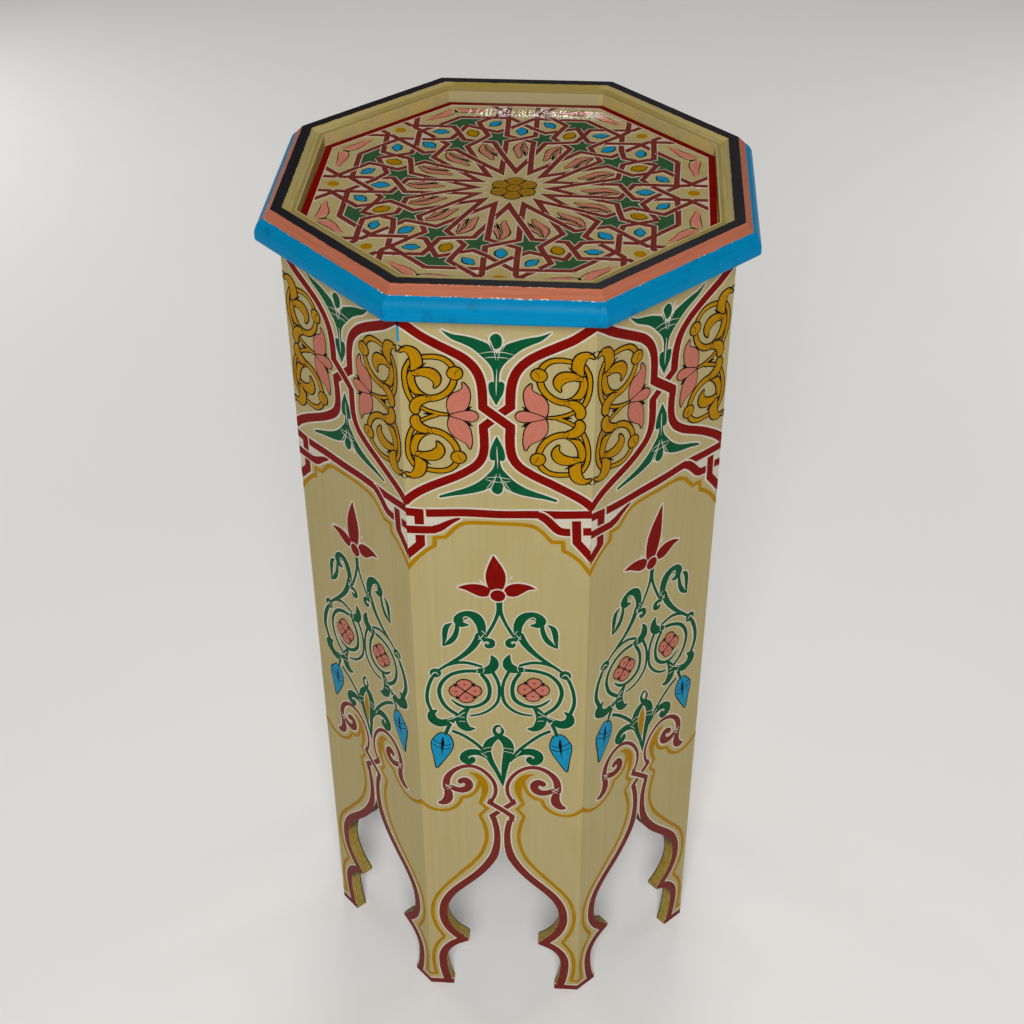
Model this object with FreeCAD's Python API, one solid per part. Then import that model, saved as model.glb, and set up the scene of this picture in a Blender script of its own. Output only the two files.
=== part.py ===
# Octagonal side table of painted wood: eight mitred side boards whose lower ends are sawn into
# ogee arches and spurred feet, under a tray top framed by eight moulded rim rails.
#
# Millimetres. +Z is up, the floor is z = 0 and the table stands on its axis, the Z axis.
# Side 1 faces -Y. The other sides follow it anticlockwise, seen from above.
import FreeCAD, Part

import math
import os

from FreeCAD import Rotation, Vector

# Carcass
SIDES = 8
BODY_WIDTH = 314.0  # across the flats of the carcass
PANEL_HEIGHT = 692.0
PANEL_THICKNESS = 10.0

# Feet and arch, as widths of wood measured in from the corner, and heights above the floor
TOE_WIDTH = 20.5
ANKLE_WIDTH = 15.0
ANKLE_HEIGHT = 35.0
SPUR_WIDTH = 35.3  # to the nose of the spur
SPUR_NOSE_DEPTH = 2.4  # how far the rounded nose stands out
SPUR_BOTTOM = 59.0
SPUR_TOP = 66.0
KNEE_WIDTH = 17.1
KNEE_HEIGHT = 96.0
ARCH_HEIGHT = 184.0
OGEE_KNEE_PULL = 37.0  # how far the curve keeps to the vertical above the knee
OGEE_APEX_PULL = 52.0  # how far it keeps to its own slope below the apex
OGEE_APEX_LEAN = 15.0  # degrees from the vertical at the apex

# Rim rails, as widths measured in from the rail's outermost face and heights above its underside
RIM_OVERHANG = 15.5  # past the face of the side boards
RAIL_HEIGHT = 23.0
RAIL_LOWER_ROUND = 3.5
RAIL_SHOULDER_START = 6.0
CHAMFER_BOTTOM = 16.7
CHAMFER_OUTER_INSET = 5.6
CHAMFER_TOP_INSET = 11.5
LIP_WIDTH = 7.6  # flat top of the rail
COVE_WIDTH = 7.4
COVE_DEPTH = 3.7
COVE_FILLET = 1.8  # flat at the foot of the cove
LEDGE_THICKNESS = 3.0
LEDGE_WIDTH = 10.2  # carries the tray board

# Tray board
TRAY_THICKNESS = 7.0
TRAY_CLEARANCE = 0.2

# Corner blocks glued behind the mitres
BLOCK_LEG = 22.0  # along each side board
BLOCK_THICKNESS = 10.0
BLOCK_BOTTOM = 196.0
BLOCK_CLEARANCE = 0.5  # between a block and the end of a cleat

# Cleats that carry the tray top
CLEAT_DEPTH = 20.0
CLEAT_HEIGHT = 20.0

# Fasteners
PIN_DIAMETER = 1.8
PIN_BITE = 6.0  # into a side board
PIN_SET = 1.5  # below the surface that it is driven from
BLOCK_PIN_SETBACK = 12.0  # from the corner, along the side board
BLOCK_PIN_END_MARGIN = 45.0  # from each end of the block
CLEAT_PIN_SPACING = 18.0
SCREW_SPACING = 48.0
SCREW_INSET = 8.0  # behind the side board
SCREW_HEAD_DIAMETER = 7.0
SCREW_HEAD_HEIGHT = 2.6
SCREW_SHANK_DIAMETER = 3.5
SCREW_TIP_LENGTH = 4.0
SCREW_COVER = 3.0  # wood left above the tip
HOLE_CLEARANCE = 0.05

# Worked out from the sizes above
TURN = 360.0 / SIDES
HALF_TURN_TAN = math.tan(math.radians(TURN / 2))
OUTER = BODY_WIDTH / 2  # from the axis to the outer face of a side board
INNER = OUTER - PANEL_THICKNESS
INNER_HALF = INNER * HALF_TURN_TAN  # half the width of a side board's inner face
RIM_OUTER = OUTER + RIM_OVERHANG
RAIL_INNER = RIM_OUTER - CHAMFER_TOP_INSET - LIP_WIDTH - COVE_WIDTH - COVE_FILLET
RAIL_TOP = PANEL_HEIGHT + RAIL_HEIGHT
TRAY_BOTTOM = PANEL_HEIGHT + LEDGE_THICKNESS
TRAY_TOP = TRAY_BOTTOM + TRAY_THICKNESS
CLEAT_BOTTOM = PANEL_HEIGHT - CLEAT_HEIGHT
SCREW_LENGTH = TRAY_TOP - SCREW_COVER - CLEAT_BOTTOM
WEDGE_REACH = 2 * RIM_OUTER  # past every piece of a side


def turned(shape, side):
    """The shape made for side 1, turned about the axis to another side."""
    copy = shape.copy()
    copy.rotate(Vector(0, 0, 0), Vector(0, 0, 1), TURN * side)
    return copy


def round_the_table(shapes):
    """Copies of the shapes made for side 1, on every side."""
    made = list(shapes)
    return [turned(one, side) for side in range(SIDES) for one in made]


def extruded(edges, direction):
    """A solid made by carrying the face inside a closed outline along a vector."""
    outline = Part.Wire(Part.__sortEdges__(edges))
    return Part.Face(outline).extrude(direction)


def polyline(points):
    """Straight edges from each point to the next."""
    return [Part.LineSegment(a, b).toShape() for a, b in zip(points, points[1:])]


def mitre_wedge():
    """The sector of the table that belongs to side 1; its two sides are the mitre planes."""
    reach = WEDGE_REACH * HALF_TURN_TAN
    axis = Vector(0, 0, 0)
    corners = [axis, Vector(reach, -WEDGE_REACH, 0), Vector(-reach, -WEDGE_REACH, 0), axis]
    return extruded(polyline(corners), Vector(0, 0, RAIL_TOP))


def upright_arc(upright_end, other_end):
    """An arc between two points of a side board's outline that is vertical at the first one."""
    across = other_end.x - upright_end.x
    rise = other_end.z - upright_end.z
    radius = (across**2 + rise**2) / (2 * abs(across))
    way = math.copysign(1, across)
    sweep = math.atan2(abs(rise), radius - abs(across))
    centre = upright_end + Vector(way * radius, 0, 0)
    half = Vector(-way * math.cos(sweep / 2), 0, math.copysign(math.sin(sweep / 2), rise))
    return Part.Arc(upright_end, centre + half * radius, other_end).toShape()


def ogee(knee, apex):
    """The reversed curve from the widest part of the arch up to its point."""
    lean = math.radians(OGEE_APEX_LEAN)
    curve = Part.BezierCurve()
    curve.setPoles(
        [
            knee,
            knee + Vector(0, 0, OGEE_KNEE_PULL),
            apex + Vector(math.sin(lean), 0, -math.cos(lean)) * OGEE_APEX_PULL,
            apex,
        ]
    )
    return curve.toShape()


def arch_edges():
    """Both halves of the sawn arch, from toe to toe, on the outer face of side 1."""
    corner = OUTER * HALF_TURN_TAN
    toe = Vector(corner - TOE_WIDTH, -OUTER, 0)
    ankle = Vector(corner - ANKLE_WIDTH, -OUTER, ANKLE_HEIGHT)
    nose = corner - SPUR_WIDTH
    spur_foot = Vector(nose + SPUR_NOSE_DEPTH, -OUTER, SPUR_BOTTOM)
    spur_nose = Vector(nose, -OUTER, (SPUR_BOTTOM + SPUR_TOP) / 2)
    spur_head = Vector(nose + SPUR_NOSE_DEPTH, -OUTER, SPUR_TOP)
    knee = Vector(corner - KNEE_WIDTH, -OUTER, KNEE_HEIGHT)
    apex = Vector(0, -OUTER, ARCH_HEIGHT)
    right = [
        upright_arc(ankle, toe),
        upright_arc(ankle, spur_foot),
        Part.Arc(spur_foot, spur_nose, spur_head).toShape(),
        upright_arc(knee, spur_head),
        ogee(knee, apex),
    ]
    left = [edge.mirror(Vector(0, 0, 0), Vector(1, 0, 0)) for edge in right]
    return right + left, toe


def pin(foot, direction, length):
    """A headless pin from a point along a direction."""
    return Part.makeCylinder(PIN_DIAMETER / 2, length, foot, direction)


def pin_hole(foot, direction, length):
    """The hole for such a pin."""
    return Part.makeCylinder(PIN_DIAMETER / 2 + HOLE_CLEARANCE, length, foot, direction)


def block_pin_places():
    """Foot, direction and length of each pin that holds the corner block between sides 1 and 2."""
    thickness = BLOCK_THICKNESS + (BLOCK_LEG - BLOCK_PIN_SETBACK) * HALF_TURN_TAN
    length = PIN_BITE + thickness - PIN_SET
    heights = (BLOCK_BOTTOM + BLOCK_PIN_END_MARGIN, CLEAT_BOTTOM - BLOCK_PIN_END_MARGIN)
    places = []
    for height in heights:
        foot = Vector(INNER_HALF - BLOCK_PIN_SETBACK, -INNER - PIN_BITE, height)
        places.append((foot, Vector(0, 1, 0), length))
        mirrored = Vector(-foot.x, foot.y, foot.z)
        spin = Rotation(Vector(0, 0, 1), TURN)
        places.append((spin.multVec(mirrored), spin.multVec(Vector(0, 1, 0)), length))
    return places


def cleat_pin_places():
    """Foot of each pin driven from inside through the cleat of side 1 into its side board."""
    height = CLEAT_BOTTOM + CLEAT_HEIGHT / 2
    length = PIN_BITE + CLEAT_DEPTH - PIN_SET
    half = CLEAT_PIN_SPACING / 2
    return [(Vector(x, -INNER - PIN_BITE, height), Vector(0, 1, 0), length) for x in (-half, half)]


def screw(clearance=0.0):
    """A countersunk wood screw pointing up from its head at the origin, or the void for it."""
    head = SCREW_HEAD_DIAMETER / 2 + clearance
    shank = SCREW_SHANK_DIAMETER / 2 + clearance
    length = SCREW_LENGTH + clearance
    corners = [
        Vector(0, 0, 0),
        Vector(head, 0, 0),
        Vector(shank, 0, SCREW_HEAD_HEIGHT + clearance),
        Vector(shank, 0, length - SCREW_TIP_LENGTH),
        Vector(0, 0, length),
        Vector(0, 0, 0),
    ]
    section = Part.Face(Part.Wire(polyline(corners)))
    return section.revolve(Vector(0, 0, 0), Vector(0, 0, 1), 360)


def screws_of_side(clearance=0.0):
    """The two screws that go up through the cleat of side 1, or the voids for them."""
    made = []
    for x in (-SCREW_SPACING / 2, SCREW_SPACING / 2):
        one = screw(clearance)
        one.translate(Vector(x, -INNER + SCREW_INSET, CLEAT_BOTTOM))
        made.append(one)
    return made


def side_panel():
    """Side board 1: mitred edges, an ogee arch between two half feet, and blind holes for the pins."""
    edges, toe = arch_edges()
    half = OUTER * HALF_TURN_TAN + PANEL_THICKNESS  # the mitre planes trim it
    outline = [
        Vector(toe.x, -OUTER, 0),
        Vector(half, -OUTER, 0),
        Vector(half, -OUTER, PANEL_HEIGHT),
        Vector(-half, -OUTER, PANEL_HEIGHT),
        Vector(-half, -OUTER, 0),
        Vector(-toe.x, -OUTER, 0),
    ]
    board = extruded(edges + polyline(outline), Vector(0, PANEL_THICKNESS, 0)).common(mitre_wedge())
    places = cleat_pin_places()
    for foot, direction, length in block_pin_places():
        if direction.x == 0:
            places.append((foot, direction, length))
            places.append((Vector(-foot.x, foot.y, foot.z), direction, length))
    return board.cut([pin_hole(*place) for place in places])


def rim_rail():
    """Rail 1 of the tray's rim: bullnosed edge, chamfer, flat lip, cove and a rebate for the tray board."""

    def at(inset, height):
        return Vector(0, -(RIM_OUTER - inset), PANEL_HEIGHT + height)

    inner = RIM_OUTER - RAIL_INNER
    ledge = inner + LEDGE_WIDTH
    lip_inner = CHAMFER_TOP_INSET + LIP_WIDTH
    cove_foot = lip_inner + COVE_WIDTH
    cove_height = RAIL_HEIGHT - COVE_DEPTH
    cove_radius = (COVE_WIDTH**2 + COVE_DEPTH**2) / (2 * COVE_DEPTH)
    cove_sweep = math.asin(COVE_WIDTH / cove_radius) / 2
    cove_middle = at(
        cove_foot - cove_radius * math.sin(cove_sweep),
        cove_height + cove_radius * (1 - math.cos(cove_sweep)),
    )
    shoulder_rise = CHAMFER_BOTTOM - RAIL_SHOULDER_START
    shoulder_radius = (CHAMFER_OUTER_INSET**2 + shoulder_rise**2) / (2 * CHAMFER_OUTER_INSET)
    shoulder_sweep = math.asin(shoulder_rise / shoulder_radius) / 2
    shoulder_middle = at(
        shoulder_radius * (1 - math.cos(shoulder_sweep)),
        RAIL_SHOULDER_START + shoulder_radius * math.sin(shoulder_sweep),
    )
    round_share = RAIL_LOWER_ROUND * (1 - math.sqrt(0.5))
    chamfer_foot = at(CHAMFER_OUTER_INSET, CHAMFER_BOTTOM)
    chamfer_top = at(CHAMFER_TOP_INSET, RAIL_HEIGHT)
    edges = [
        Part.Arc(at(RAIL_LOWER_ROUND, 0), at(round_share, round_share), at(0, RAIL_LOWER_ROUND)).toShape(),
        Part.Arc(at(0, RAIL_SHOULDER_START), shoulder_middle, chamfer_foot).toShape(),
        Part.Arc(at(lip_inner, RAIL_HEIGHT), cove_middle, at(cove_foot, cove_height)).toShape(),
    ]
    edges += polyline([at(0, RAIL_LOWER_ROUND), at(0, RAIL_SHOULDER_START)])
    edges += polyline([chamfer_foot, chamfer_top, at(lip_inner, RAIL_HEIGHT)])
    edges += polyline(
        [
            at(cove_foot, cove_height),
            at(inner, cove_height),
            at(inner, LEDGE_THICKNESS),
            at(ledge, LEDGE_THICKNESS),
            at(ledge, 0),
            at(RAIL_LOWER_ROUND, 0),
        ]
    )
    reach = RIM_OUTER
    rail = extruded(edges, Vector(2 * reach, 0, 0))
    rail.translate(Vector(-reach, 0, 0))
    return rail.common(mitre_wedge()).cut(screws_of_side(HOLE_CLEARANCE))


def tray_board():
    """The octagonal board that rests on the rails' ledges, with blind holes for the screw tips."""
    apothem = RAIL_INNER - TRAY_CLEARANCE
    radius = apothem / math.cos(math.radians(TURN / 2))
    angles = [math.radians(TURN * (k + 0.5)) for k in range(SIDES + 1)]
    corners = [Vector(radius * math.cos(a), radius * math.sin(a), TRAY_BOTTOM) for a in angles]
    board = extruded(polyline(corners), Vector(0, 0, TRAY_THICKNESS))
    return board.cut(round_the_table(screws_of_side(HOLE_CLEARANCE)))


def corner_block():
    """The glue block behind the mitre of sides 1 and 2, with holes for its pins."""
    corner = Vector(INNER_HALF, -INNER, BLOCK_BOTTOM)
    spin = Rotation(Vector(0, 0, 1), TURN)
    along_first = Vector(-1, 0, 0)
    inward_first = Vector(0, 1, 0)
    along_second = spin.multVec(Vector(1, 0, 0))
    inward_second = spin.multVec(inward_first)
    first = corner + along_first * BLOCK_LEG
    second = corner + along_second * BLOCK_LEG
    outline = [
        corner,
        second,
        second + inward_second * BLOCK_THICKNESS,
        first + inward_first * BLOCK_THICKNESS,
        first,
        corner,
    ]
    block = extruded(polyline(outline), Vector(0, 0, PANEL_HEIGHT - BLOCK_BOTTOM))
    past = PIN_SET + PIN_DIAMETER  # the hole runs out through the block's inner face
    holes = [pin_hole(foot, way, length + past) for foot, way, length in block_pin_places()]
    return block.cut(holes)


def top_cleat():
    """The cleat of side 1, between two corner blocks, that the tray top is screwed to."""
    half = INNER_HALF - BLOCK_LEG - BLOCK_CLEARANCE
    cleat = Part.makeBox(2 * half, CLEAT_DEPTH, CLEAT_HEIGHT, Vector(-half, -INNER, CLEAT_BOTTOM))
    past = PIN_SET + PIN_DIAMETER  # the hole runs out through the cleat's inner face
    holes = [pin_hole(foot, way, length + past) for foot, way, length in cleat_pin_places()]
    return cleat.cut(holes + screws_of_side(HOLE_CLEARANCE))


def save(name, shape):
    """Writes one node and prints what it holds."""
    shape.exportStep(f"parts/{name}.step")
    volume = shape.Volume / 1000
    print(f"{name}: {len(shape.Solids)} solid(s), {volume:.1f} cm3, valid {shape.isValid()}")


def main():
    os.makedirs("parts", exist_ok=True)
    repeated = {
        "side_panel": side_panel(),
        "rim_rail": rim_rail(),
        "corner_block": corner_block(),
        "top_cleat": top_cleat(),
    }
    for name, shape in repeated.items():
        for side in range(SIDES):
            save(f"{name}_{side + 1}", turned(shape, side).Solids[0])
    save("tray_board", tray_board().Solids[0])
    save("cleat_screws", Part.makeCompound(round_the_table(screws_of_side())))
    save("cleat_pins", Part.makeCompound(round_the_table(pin(*place) for place in cleat_pin_places())))
    save("block_pins", Part.makeCompound(round_the_table(pin(*place) for place in block_pin_places())))


main()
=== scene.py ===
"""Looks of the painted eight-sided table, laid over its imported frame.

Boards, rails and tray keep the frame's shapes and get painted finishes. The ornament is brushwork: each
stroke is a thin closed film of paint, a flat-topped profile carried along a line that a painter's hand
would draw, and it lies on one side or on the tray. Lengths in the ornament are millimetres: on a side, x
runs along it from its middle and z up from the floor; on the tray, x and y run from its middle. The frame
itself is in metres.
"""

from __future__ import annotations

import logging
import math
from collections.abc import Callable, Iterable
from dataclasses import dataclass, field, replace
from enum import Enum

import bpy
import numpy as np
from mathutils import Matrix, Vector

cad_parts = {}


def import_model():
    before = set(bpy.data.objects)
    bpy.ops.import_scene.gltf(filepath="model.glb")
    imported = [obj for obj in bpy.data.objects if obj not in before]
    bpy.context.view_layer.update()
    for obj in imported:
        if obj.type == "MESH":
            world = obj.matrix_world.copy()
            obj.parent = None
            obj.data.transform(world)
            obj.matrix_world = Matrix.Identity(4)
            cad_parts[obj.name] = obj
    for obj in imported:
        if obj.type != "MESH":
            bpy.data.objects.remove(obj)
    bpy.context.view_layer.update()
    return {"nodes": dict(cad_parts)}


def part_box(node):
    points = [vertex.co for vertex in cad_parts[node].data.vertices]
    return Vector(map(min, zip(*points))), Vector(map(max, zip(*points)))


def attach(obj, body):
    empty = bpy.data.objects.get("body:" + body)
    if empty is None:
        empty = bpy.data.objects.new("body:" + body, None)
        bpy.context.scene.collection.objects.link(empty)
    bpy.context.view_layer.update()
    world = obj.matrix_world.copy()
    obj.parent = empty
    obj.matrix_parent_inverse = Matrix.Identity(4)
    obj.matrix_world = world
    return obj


LOG = logging.getLogger("painted_table")
MM = 0.001
SIDES = 8
EIGHTH = 2 * math.pi / SIDES
HALF_EIGHTH = EIGHTH / 2
BODY = "root"
GOLDEN = 0.618034
TINY = 1e-6
FINE = 1e-3
LEAST_STEPS = 3
DAB_STEPS = 20
RULED_SHORT = 0.4

Point = tuple[float, float]
Span = tuple[float, float]
Triple = tuple[float, float, float]
Array = np.ndarray
Tree = bpy.types.NodeTree
Socket = bpy.types.NodeSocket


def linear(colour: str) -> tuple[float, float, float, float]:
    """Turns an sRGB hex colour to linear light.

    Args:
        colour: Six hex digits after a hash sign.
    Returns:
        Red, green, blue and a full alpha.
    """
    parts = np.array([int(colour[i : i + 2], 16) for i in (1, 3, 5)]) / 255
    light = np.where(parts <= 0.04045, parts / 12.92, ((parts + 0.055) / 1.055) ** 2.4)
    return (*light.tolist(), 1.0)


def add(tree: Tree, kind: str, inputs: dict, out: int | str = 0, **settings: object) -> Socket:
    """Adds one node to a material.

    Args:
        tree: The material's node tree.
        kind: The node's type name, without its first word ShaderNode.
        inputs: Input name or number, and the socket that feeds it or the value that it holds.
        out: Name or number of the output that is wanted.
        settings: The node's own properties.
    Returns:
        That output.
    """
    node = tree.nodes.new(f"ShaderNode{kind}")
    for name, value in settings.items():
        setattr(node, name, value)
    for name, value in inputs.items():
        if isinstance(value, Socket):
            tree.links.new(value, node.inputs[name])
        else:
            node.inputs[name].default_value = value
    return node.outputs[out]


def blots(tree: Tree, place: Socket, *sizes: float, detail: float = 3.0) -> Socket:
    """Gives a pattern of soft blots with finer ones in them.

    Args:
        tree: The material's node tree.
        place: The coordinates that it follows.
        sizes: How long a blot is in each direction, in metres; one size holds for all three.
        detail: How many times finer blots are added.
    Returns:
        The pattern, around one half.
    """
    scale = tuple(1 / size for size in (sizes if len(sizes) == 3 else sizes * 3))
    spread = add(tree, "Mapping", {"Vector": place, "Scale": scale})
    return add(tree, "TexNoise", {"Vector": spread, "Scale": 1.0, "Detail": detail, "Roughness": 0.55})


def where(tree: Tree, *rises: tuple[Socket, float, float], share: float = 1.0) -> Socket:
    """Gives how far several things hold at once: the product of smooth rises.

    Args:
        tree: The material's node tree.
        rises: For each, a value, where it starts to count, and where it counts in full.
        share: The most that comes out.
    Returns:
        The product, from 0 to the share.
    """
    held = None
    for value, start, full in rises:
        span = {0: value, 1: start, 2: full, 4: share if held is None else 1.0}
        rise = add(tree, "MapRange", span, interpolation_type="SMOOTHSTEP")
        held = rise if held is None else add(tree, "Math", {0: held, 1: rise}, operation="MULTIPLY")
    return held


def coats(tree: Tree, first: str | Socket, *others: tuple[Socket, str | Socket]) -> Socket:
    """Lays coats of colour one over another.

    Args:
        tree: The material's node tree.
        first: The lowest coat's colour.
        others: For each further coat, how far it covers, and its colour.
    Returns:
        The colour that is seen.
    """
    seen = linear(first) if isinstance(first, str) else first
    for cover, colour in others:
        coat = linear(colour) if isinstance(colour, str) else colour
        seen = add(tree, "Mix", {0: cover, 6: seen, 7: coat}, 2, data_type="RGBA")
    return seen


def apothem(tree: Tree, place: Socket) -> Socket:
    """Gives how far out in the eight-sided plan a point lies.

    That is the greatest of |x|, |y| and (|x| + |y|) / root 2.
    Args:
        tree: The material's node tree.
        place: The point's coordinates.
    Returns:
        The distance, in metres.
    """
    x, y, _ = add(tree, "SeparateXYZ", {0: place}).node.outputs
    across = add(tree, "Math", {0: x}, operation="ABSOLUTE")
    along = add(tree, "Math", {0: y}, operation="ABSOLUTE")
    both_ways = add(tree, "Math", {0: across, 1: along}, operation="ADD")
    slant = add(tree, "Math", {0: both_ways, 1: math.sqrt(0.5)}, operation="MULTIPLY")
    square = add(tree, "Math", {0: across, 1: along}, operation="MAXIMUM")
    return add(tree, "Math", {0: square, 1: slant}, operation="MAXIMUM")


@dataclass(frozen=True)
class Varnish:
    """A clear varnish flowed over the tray's paint.

    It pooled at the middle of the far edge, climbs that edge a little, and dried there in wrinkles that
    glint.
    """

    middle: float = 7 * MM
    shore: Span = (116 * MM, 125 * MM)
    sides: Span = (60 * MM, 30 * MM)
    climb_from: float = 117 * MM
    climb: float = 0.15 / MM
    wrinkle: Triple = (3 * MM, 6 * MM, 3 * MM)
    depth: float = 0.9 * MM
    thin: float = 0.1
    pool: float = 0.9
    roughness: float = 0.06

    def flow(self, tree: Tree, shader: bpy.types.Node, place: Socket) -> None:
        """Coats the shader, thickly and wrinkled in the pool.

        Args:
            tree: The material's node tree.
            shader: The surface shader.
            place: The coordinates on the piece.
        """
        x, y, _ = add(tree, "SeparateXYZ", {0: place}).node.outputs
        beside = add(tree, "Math", {0: x, 1: self.middle}, operation="SUBTRACT")
        beside = add(tree, "Math", {0: beside}, operation="ABSOLUTE")
        pooled = where(tree, (y, *self.shore), (beside, *self.sides))
        wrinkle = blots(tree, place, *self.wrinkle, detail=0.0)
        wrinkle = add(tree, "Math", {0: wrinkle, 1: pooled}, operation="MULTIPLY")
        climb = add(tree, "Math", {0: y, 1: self.climb_from}, operation="SUBTRACT")
        climb = add(tree, "Math", {0: climb, 1: 0.0}, operation="MAXIMUM")
        height = add(tree, "Math", {0: climb, 1: self.climb, 2: wrinkle}, operation="MULTIPLY_ADD")
        bump = add(tree, "Bump", {"Height": height, "Distance": self.depth, "Strength": 1.0})
        weight = add(tree, "Math", {0: pooled, 1: self.pool, 2: self.thin}, operation="MULTIPLY_ADD")
        shader.inputs["Coat Roughness"].default_value = self.roughness
        tree.links.new(weight, shader.inputs["Coat Weight"])
        tree.links.new(bump, shader.inputs["Coat Normal"])


@dataclass(frozen=True)
class Finish:
    """A surface finish, which makes one material; its pattern also roughens it, by depth in metres."""

    name: str
    roughness: float
    gloss: float = 0.5
    depth: float = field(default=0.05 * MM, kw_only=True)
    metallic: float = field(default=0.0, kw_only=True)
    varnish: Varnish | None = field(default=None, kw_only=True)

    def material(self) -> bpy.types.Material:
        """Makes the material with its nodes.

        Returns:
            The material.
        """
        material = bpy.data.materials.new(self.name)
        material.use_nodes = True
        tree = material.node_tree
        shader = tree.nodes["Principled BSDF"]
        shader.inputs["Roughness"].default_value = self.roughness
        shader.inputs["Specular IOR Level"].default_value = self.gloss
        shader.inputs["Metallic"].default_value = self.metallic
        place = add(tree, "TexCoord", {}, "Object")
        colour, height = self.shade(tree, place)
        tree.links.new(colour, shader.inputs["Base Color"])
        if self.depth:
            bump = add(tree, "Bump", {"Height": height, "Distance": self.depth, "Strength": 0.6})
            tree.links.new(bump, shader.inputs["Normal"])
        if self.varnish:
            self.varnish.flow(tree, shader, place)
        return material

    def shade(self, tree: Tree, place: Socket) -> tuple[Socket, Socket]:
        """Draws the finish; each has its own way.

        Args:
            tree: The material's node tree.
            place: The coordinates on the piece.
        Returns:
            Its colour, and the height pattern that roughens it.
        """
        raise NotImplementedError


@dataclass(frozen=True)
class BrushPaint(Finish):
    """Gloss oil paint pulled on with a soft round brush.

    The hairs leave fine streaks along every stroke, the pot's colour gathers darker between them, and where
    the brush ran dry a little of the ground shows through. The streaks are drawn wider than a brush's hairs,
    so that they show.
    """

    colour: str = "#808080"
    deep: str = "#606060"
    dry: str = "#a0a0a0"
    hair_run: float = 14 * MM
    hair_pitch: float = 0.7 * MM
    dry_patch: float = 16 * MM

    def shade(self, tree: Tree, place: Socket) -> tuple[Socket, Socket]:
        """Streaks the colour along the stroke's own map, and thins it in slow patches.

        Args:
            tree: The material's node tree.
            place: The coordinates on the piece.
        Returns:
            Its colour and its streaks.
        """
        flow = add(tree, "UVMap", {}, uv_map="brush")
        streak = blots(tree, flow, self.hair_run, self.hair_pitch, 1.0)
        patch = blots(tree, place, self.dry_patch)
        full = where(tree, (streak, 0.35, 0.6))
        thin = where(tree, (streak, 0.52, 0.72), (patch, 0.5, 0.75))
        return coats(tree, self.deep, (full, self.colour), (thin, self.dry)), streak


@dataclass(frozen=True)
class GroundPaint(Finish):
    """Cream oil paint laid over softwood with a wide flat brush, then rubbed and yellowed by age.

    The eye sees long upright brush streaks, slow yellow stains, faint lines of the grain below, a yellower
    thin coat on the sawn edges and bare wood inside; where a sawn edge faces down, dark brown is painted
    shade.
    """

    cream: str = "#b0a171"
    pale: str = "#b3a475"
    shadow: str = "#ad9e6d"
    stain: str = "#ab9b64"
    sawn: str = "#a7944f"
    sawn_deep: str = "#957a2e"
    bare: str = "#4a3722"
    face: float = 157 * MM
    board: float = 10 * MM
    streak_size: Triple = (3.2 * MM, 3.2 * MM, 150 * MM)
    grain_size: Triple = (0.9 * MM, 0.9 * MM, 40 * MM)
    blot_size: Triple = (30 * MM, 30 * MM, 60 * MM)
    tooth_size: float = 4 * MM
    depth: float = field(default=0.02 * MM, kw_only=True)

    def shade(self, tree: Tree, place: Socket) -> tuple[Socket, Socket]:
        """Paints by distance from the middle.

        The board is bare inside and streaked cream outside; its sawn edge is ochre where it faces up and
        dark brown where it faces down, as painted shade.
        Args:
            tree: The material's node tree.
            place: The coordinates on the piece.
        Returns:
            Its colour, and its streaks with the grain.
        """
        streak = blots(tree, place, *self.streak_size)
        grain = blots(tree, place, *self.grain_size)
        blot = blots(tree, place, *self.blot_size)
        tooth = blots(tree, place, self.tooth_size)
        out = apothem(tree, place)
        facing = add(tree, "SeparateXYZ", {0: add(tree, "NewGeometry", {}, "Normal")}, 2)
        even = where(tree, (streak, 0.36, 0.5))
        light = where(tree, (streak, 0.52, 0.72))
        stained = where(tree, (blot, 0.45, 0.75), share=0.6)
        cream = coats(tree, self.shadow, (even, self.cream), (light, self.pale), (stained, self.stain))
        sawn = coats(tree, self.sawn_deep, (where(tree, (tooth, 0.32, 0.72)), self.sawn))
        back = self.face - self.board
        # Painted shade: where the sawn edge faces down it keeps the dark bare-wood colour instead of its
        # ochre.
        upward = where(tree, (out, back + 0.6 * MM, back + 1.6 * MM), (facing, -0.45, 0.0))
        outside = where(tree, (out, self.face - 0.5 * MM, self.face - 0.2 * MM))
        height = add(tree, "Math", {0: streak, 1: grain}, operation="ADD")
        return coats(tree, self.bare, (upward, sawn), (outside, cream)), height


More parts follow.
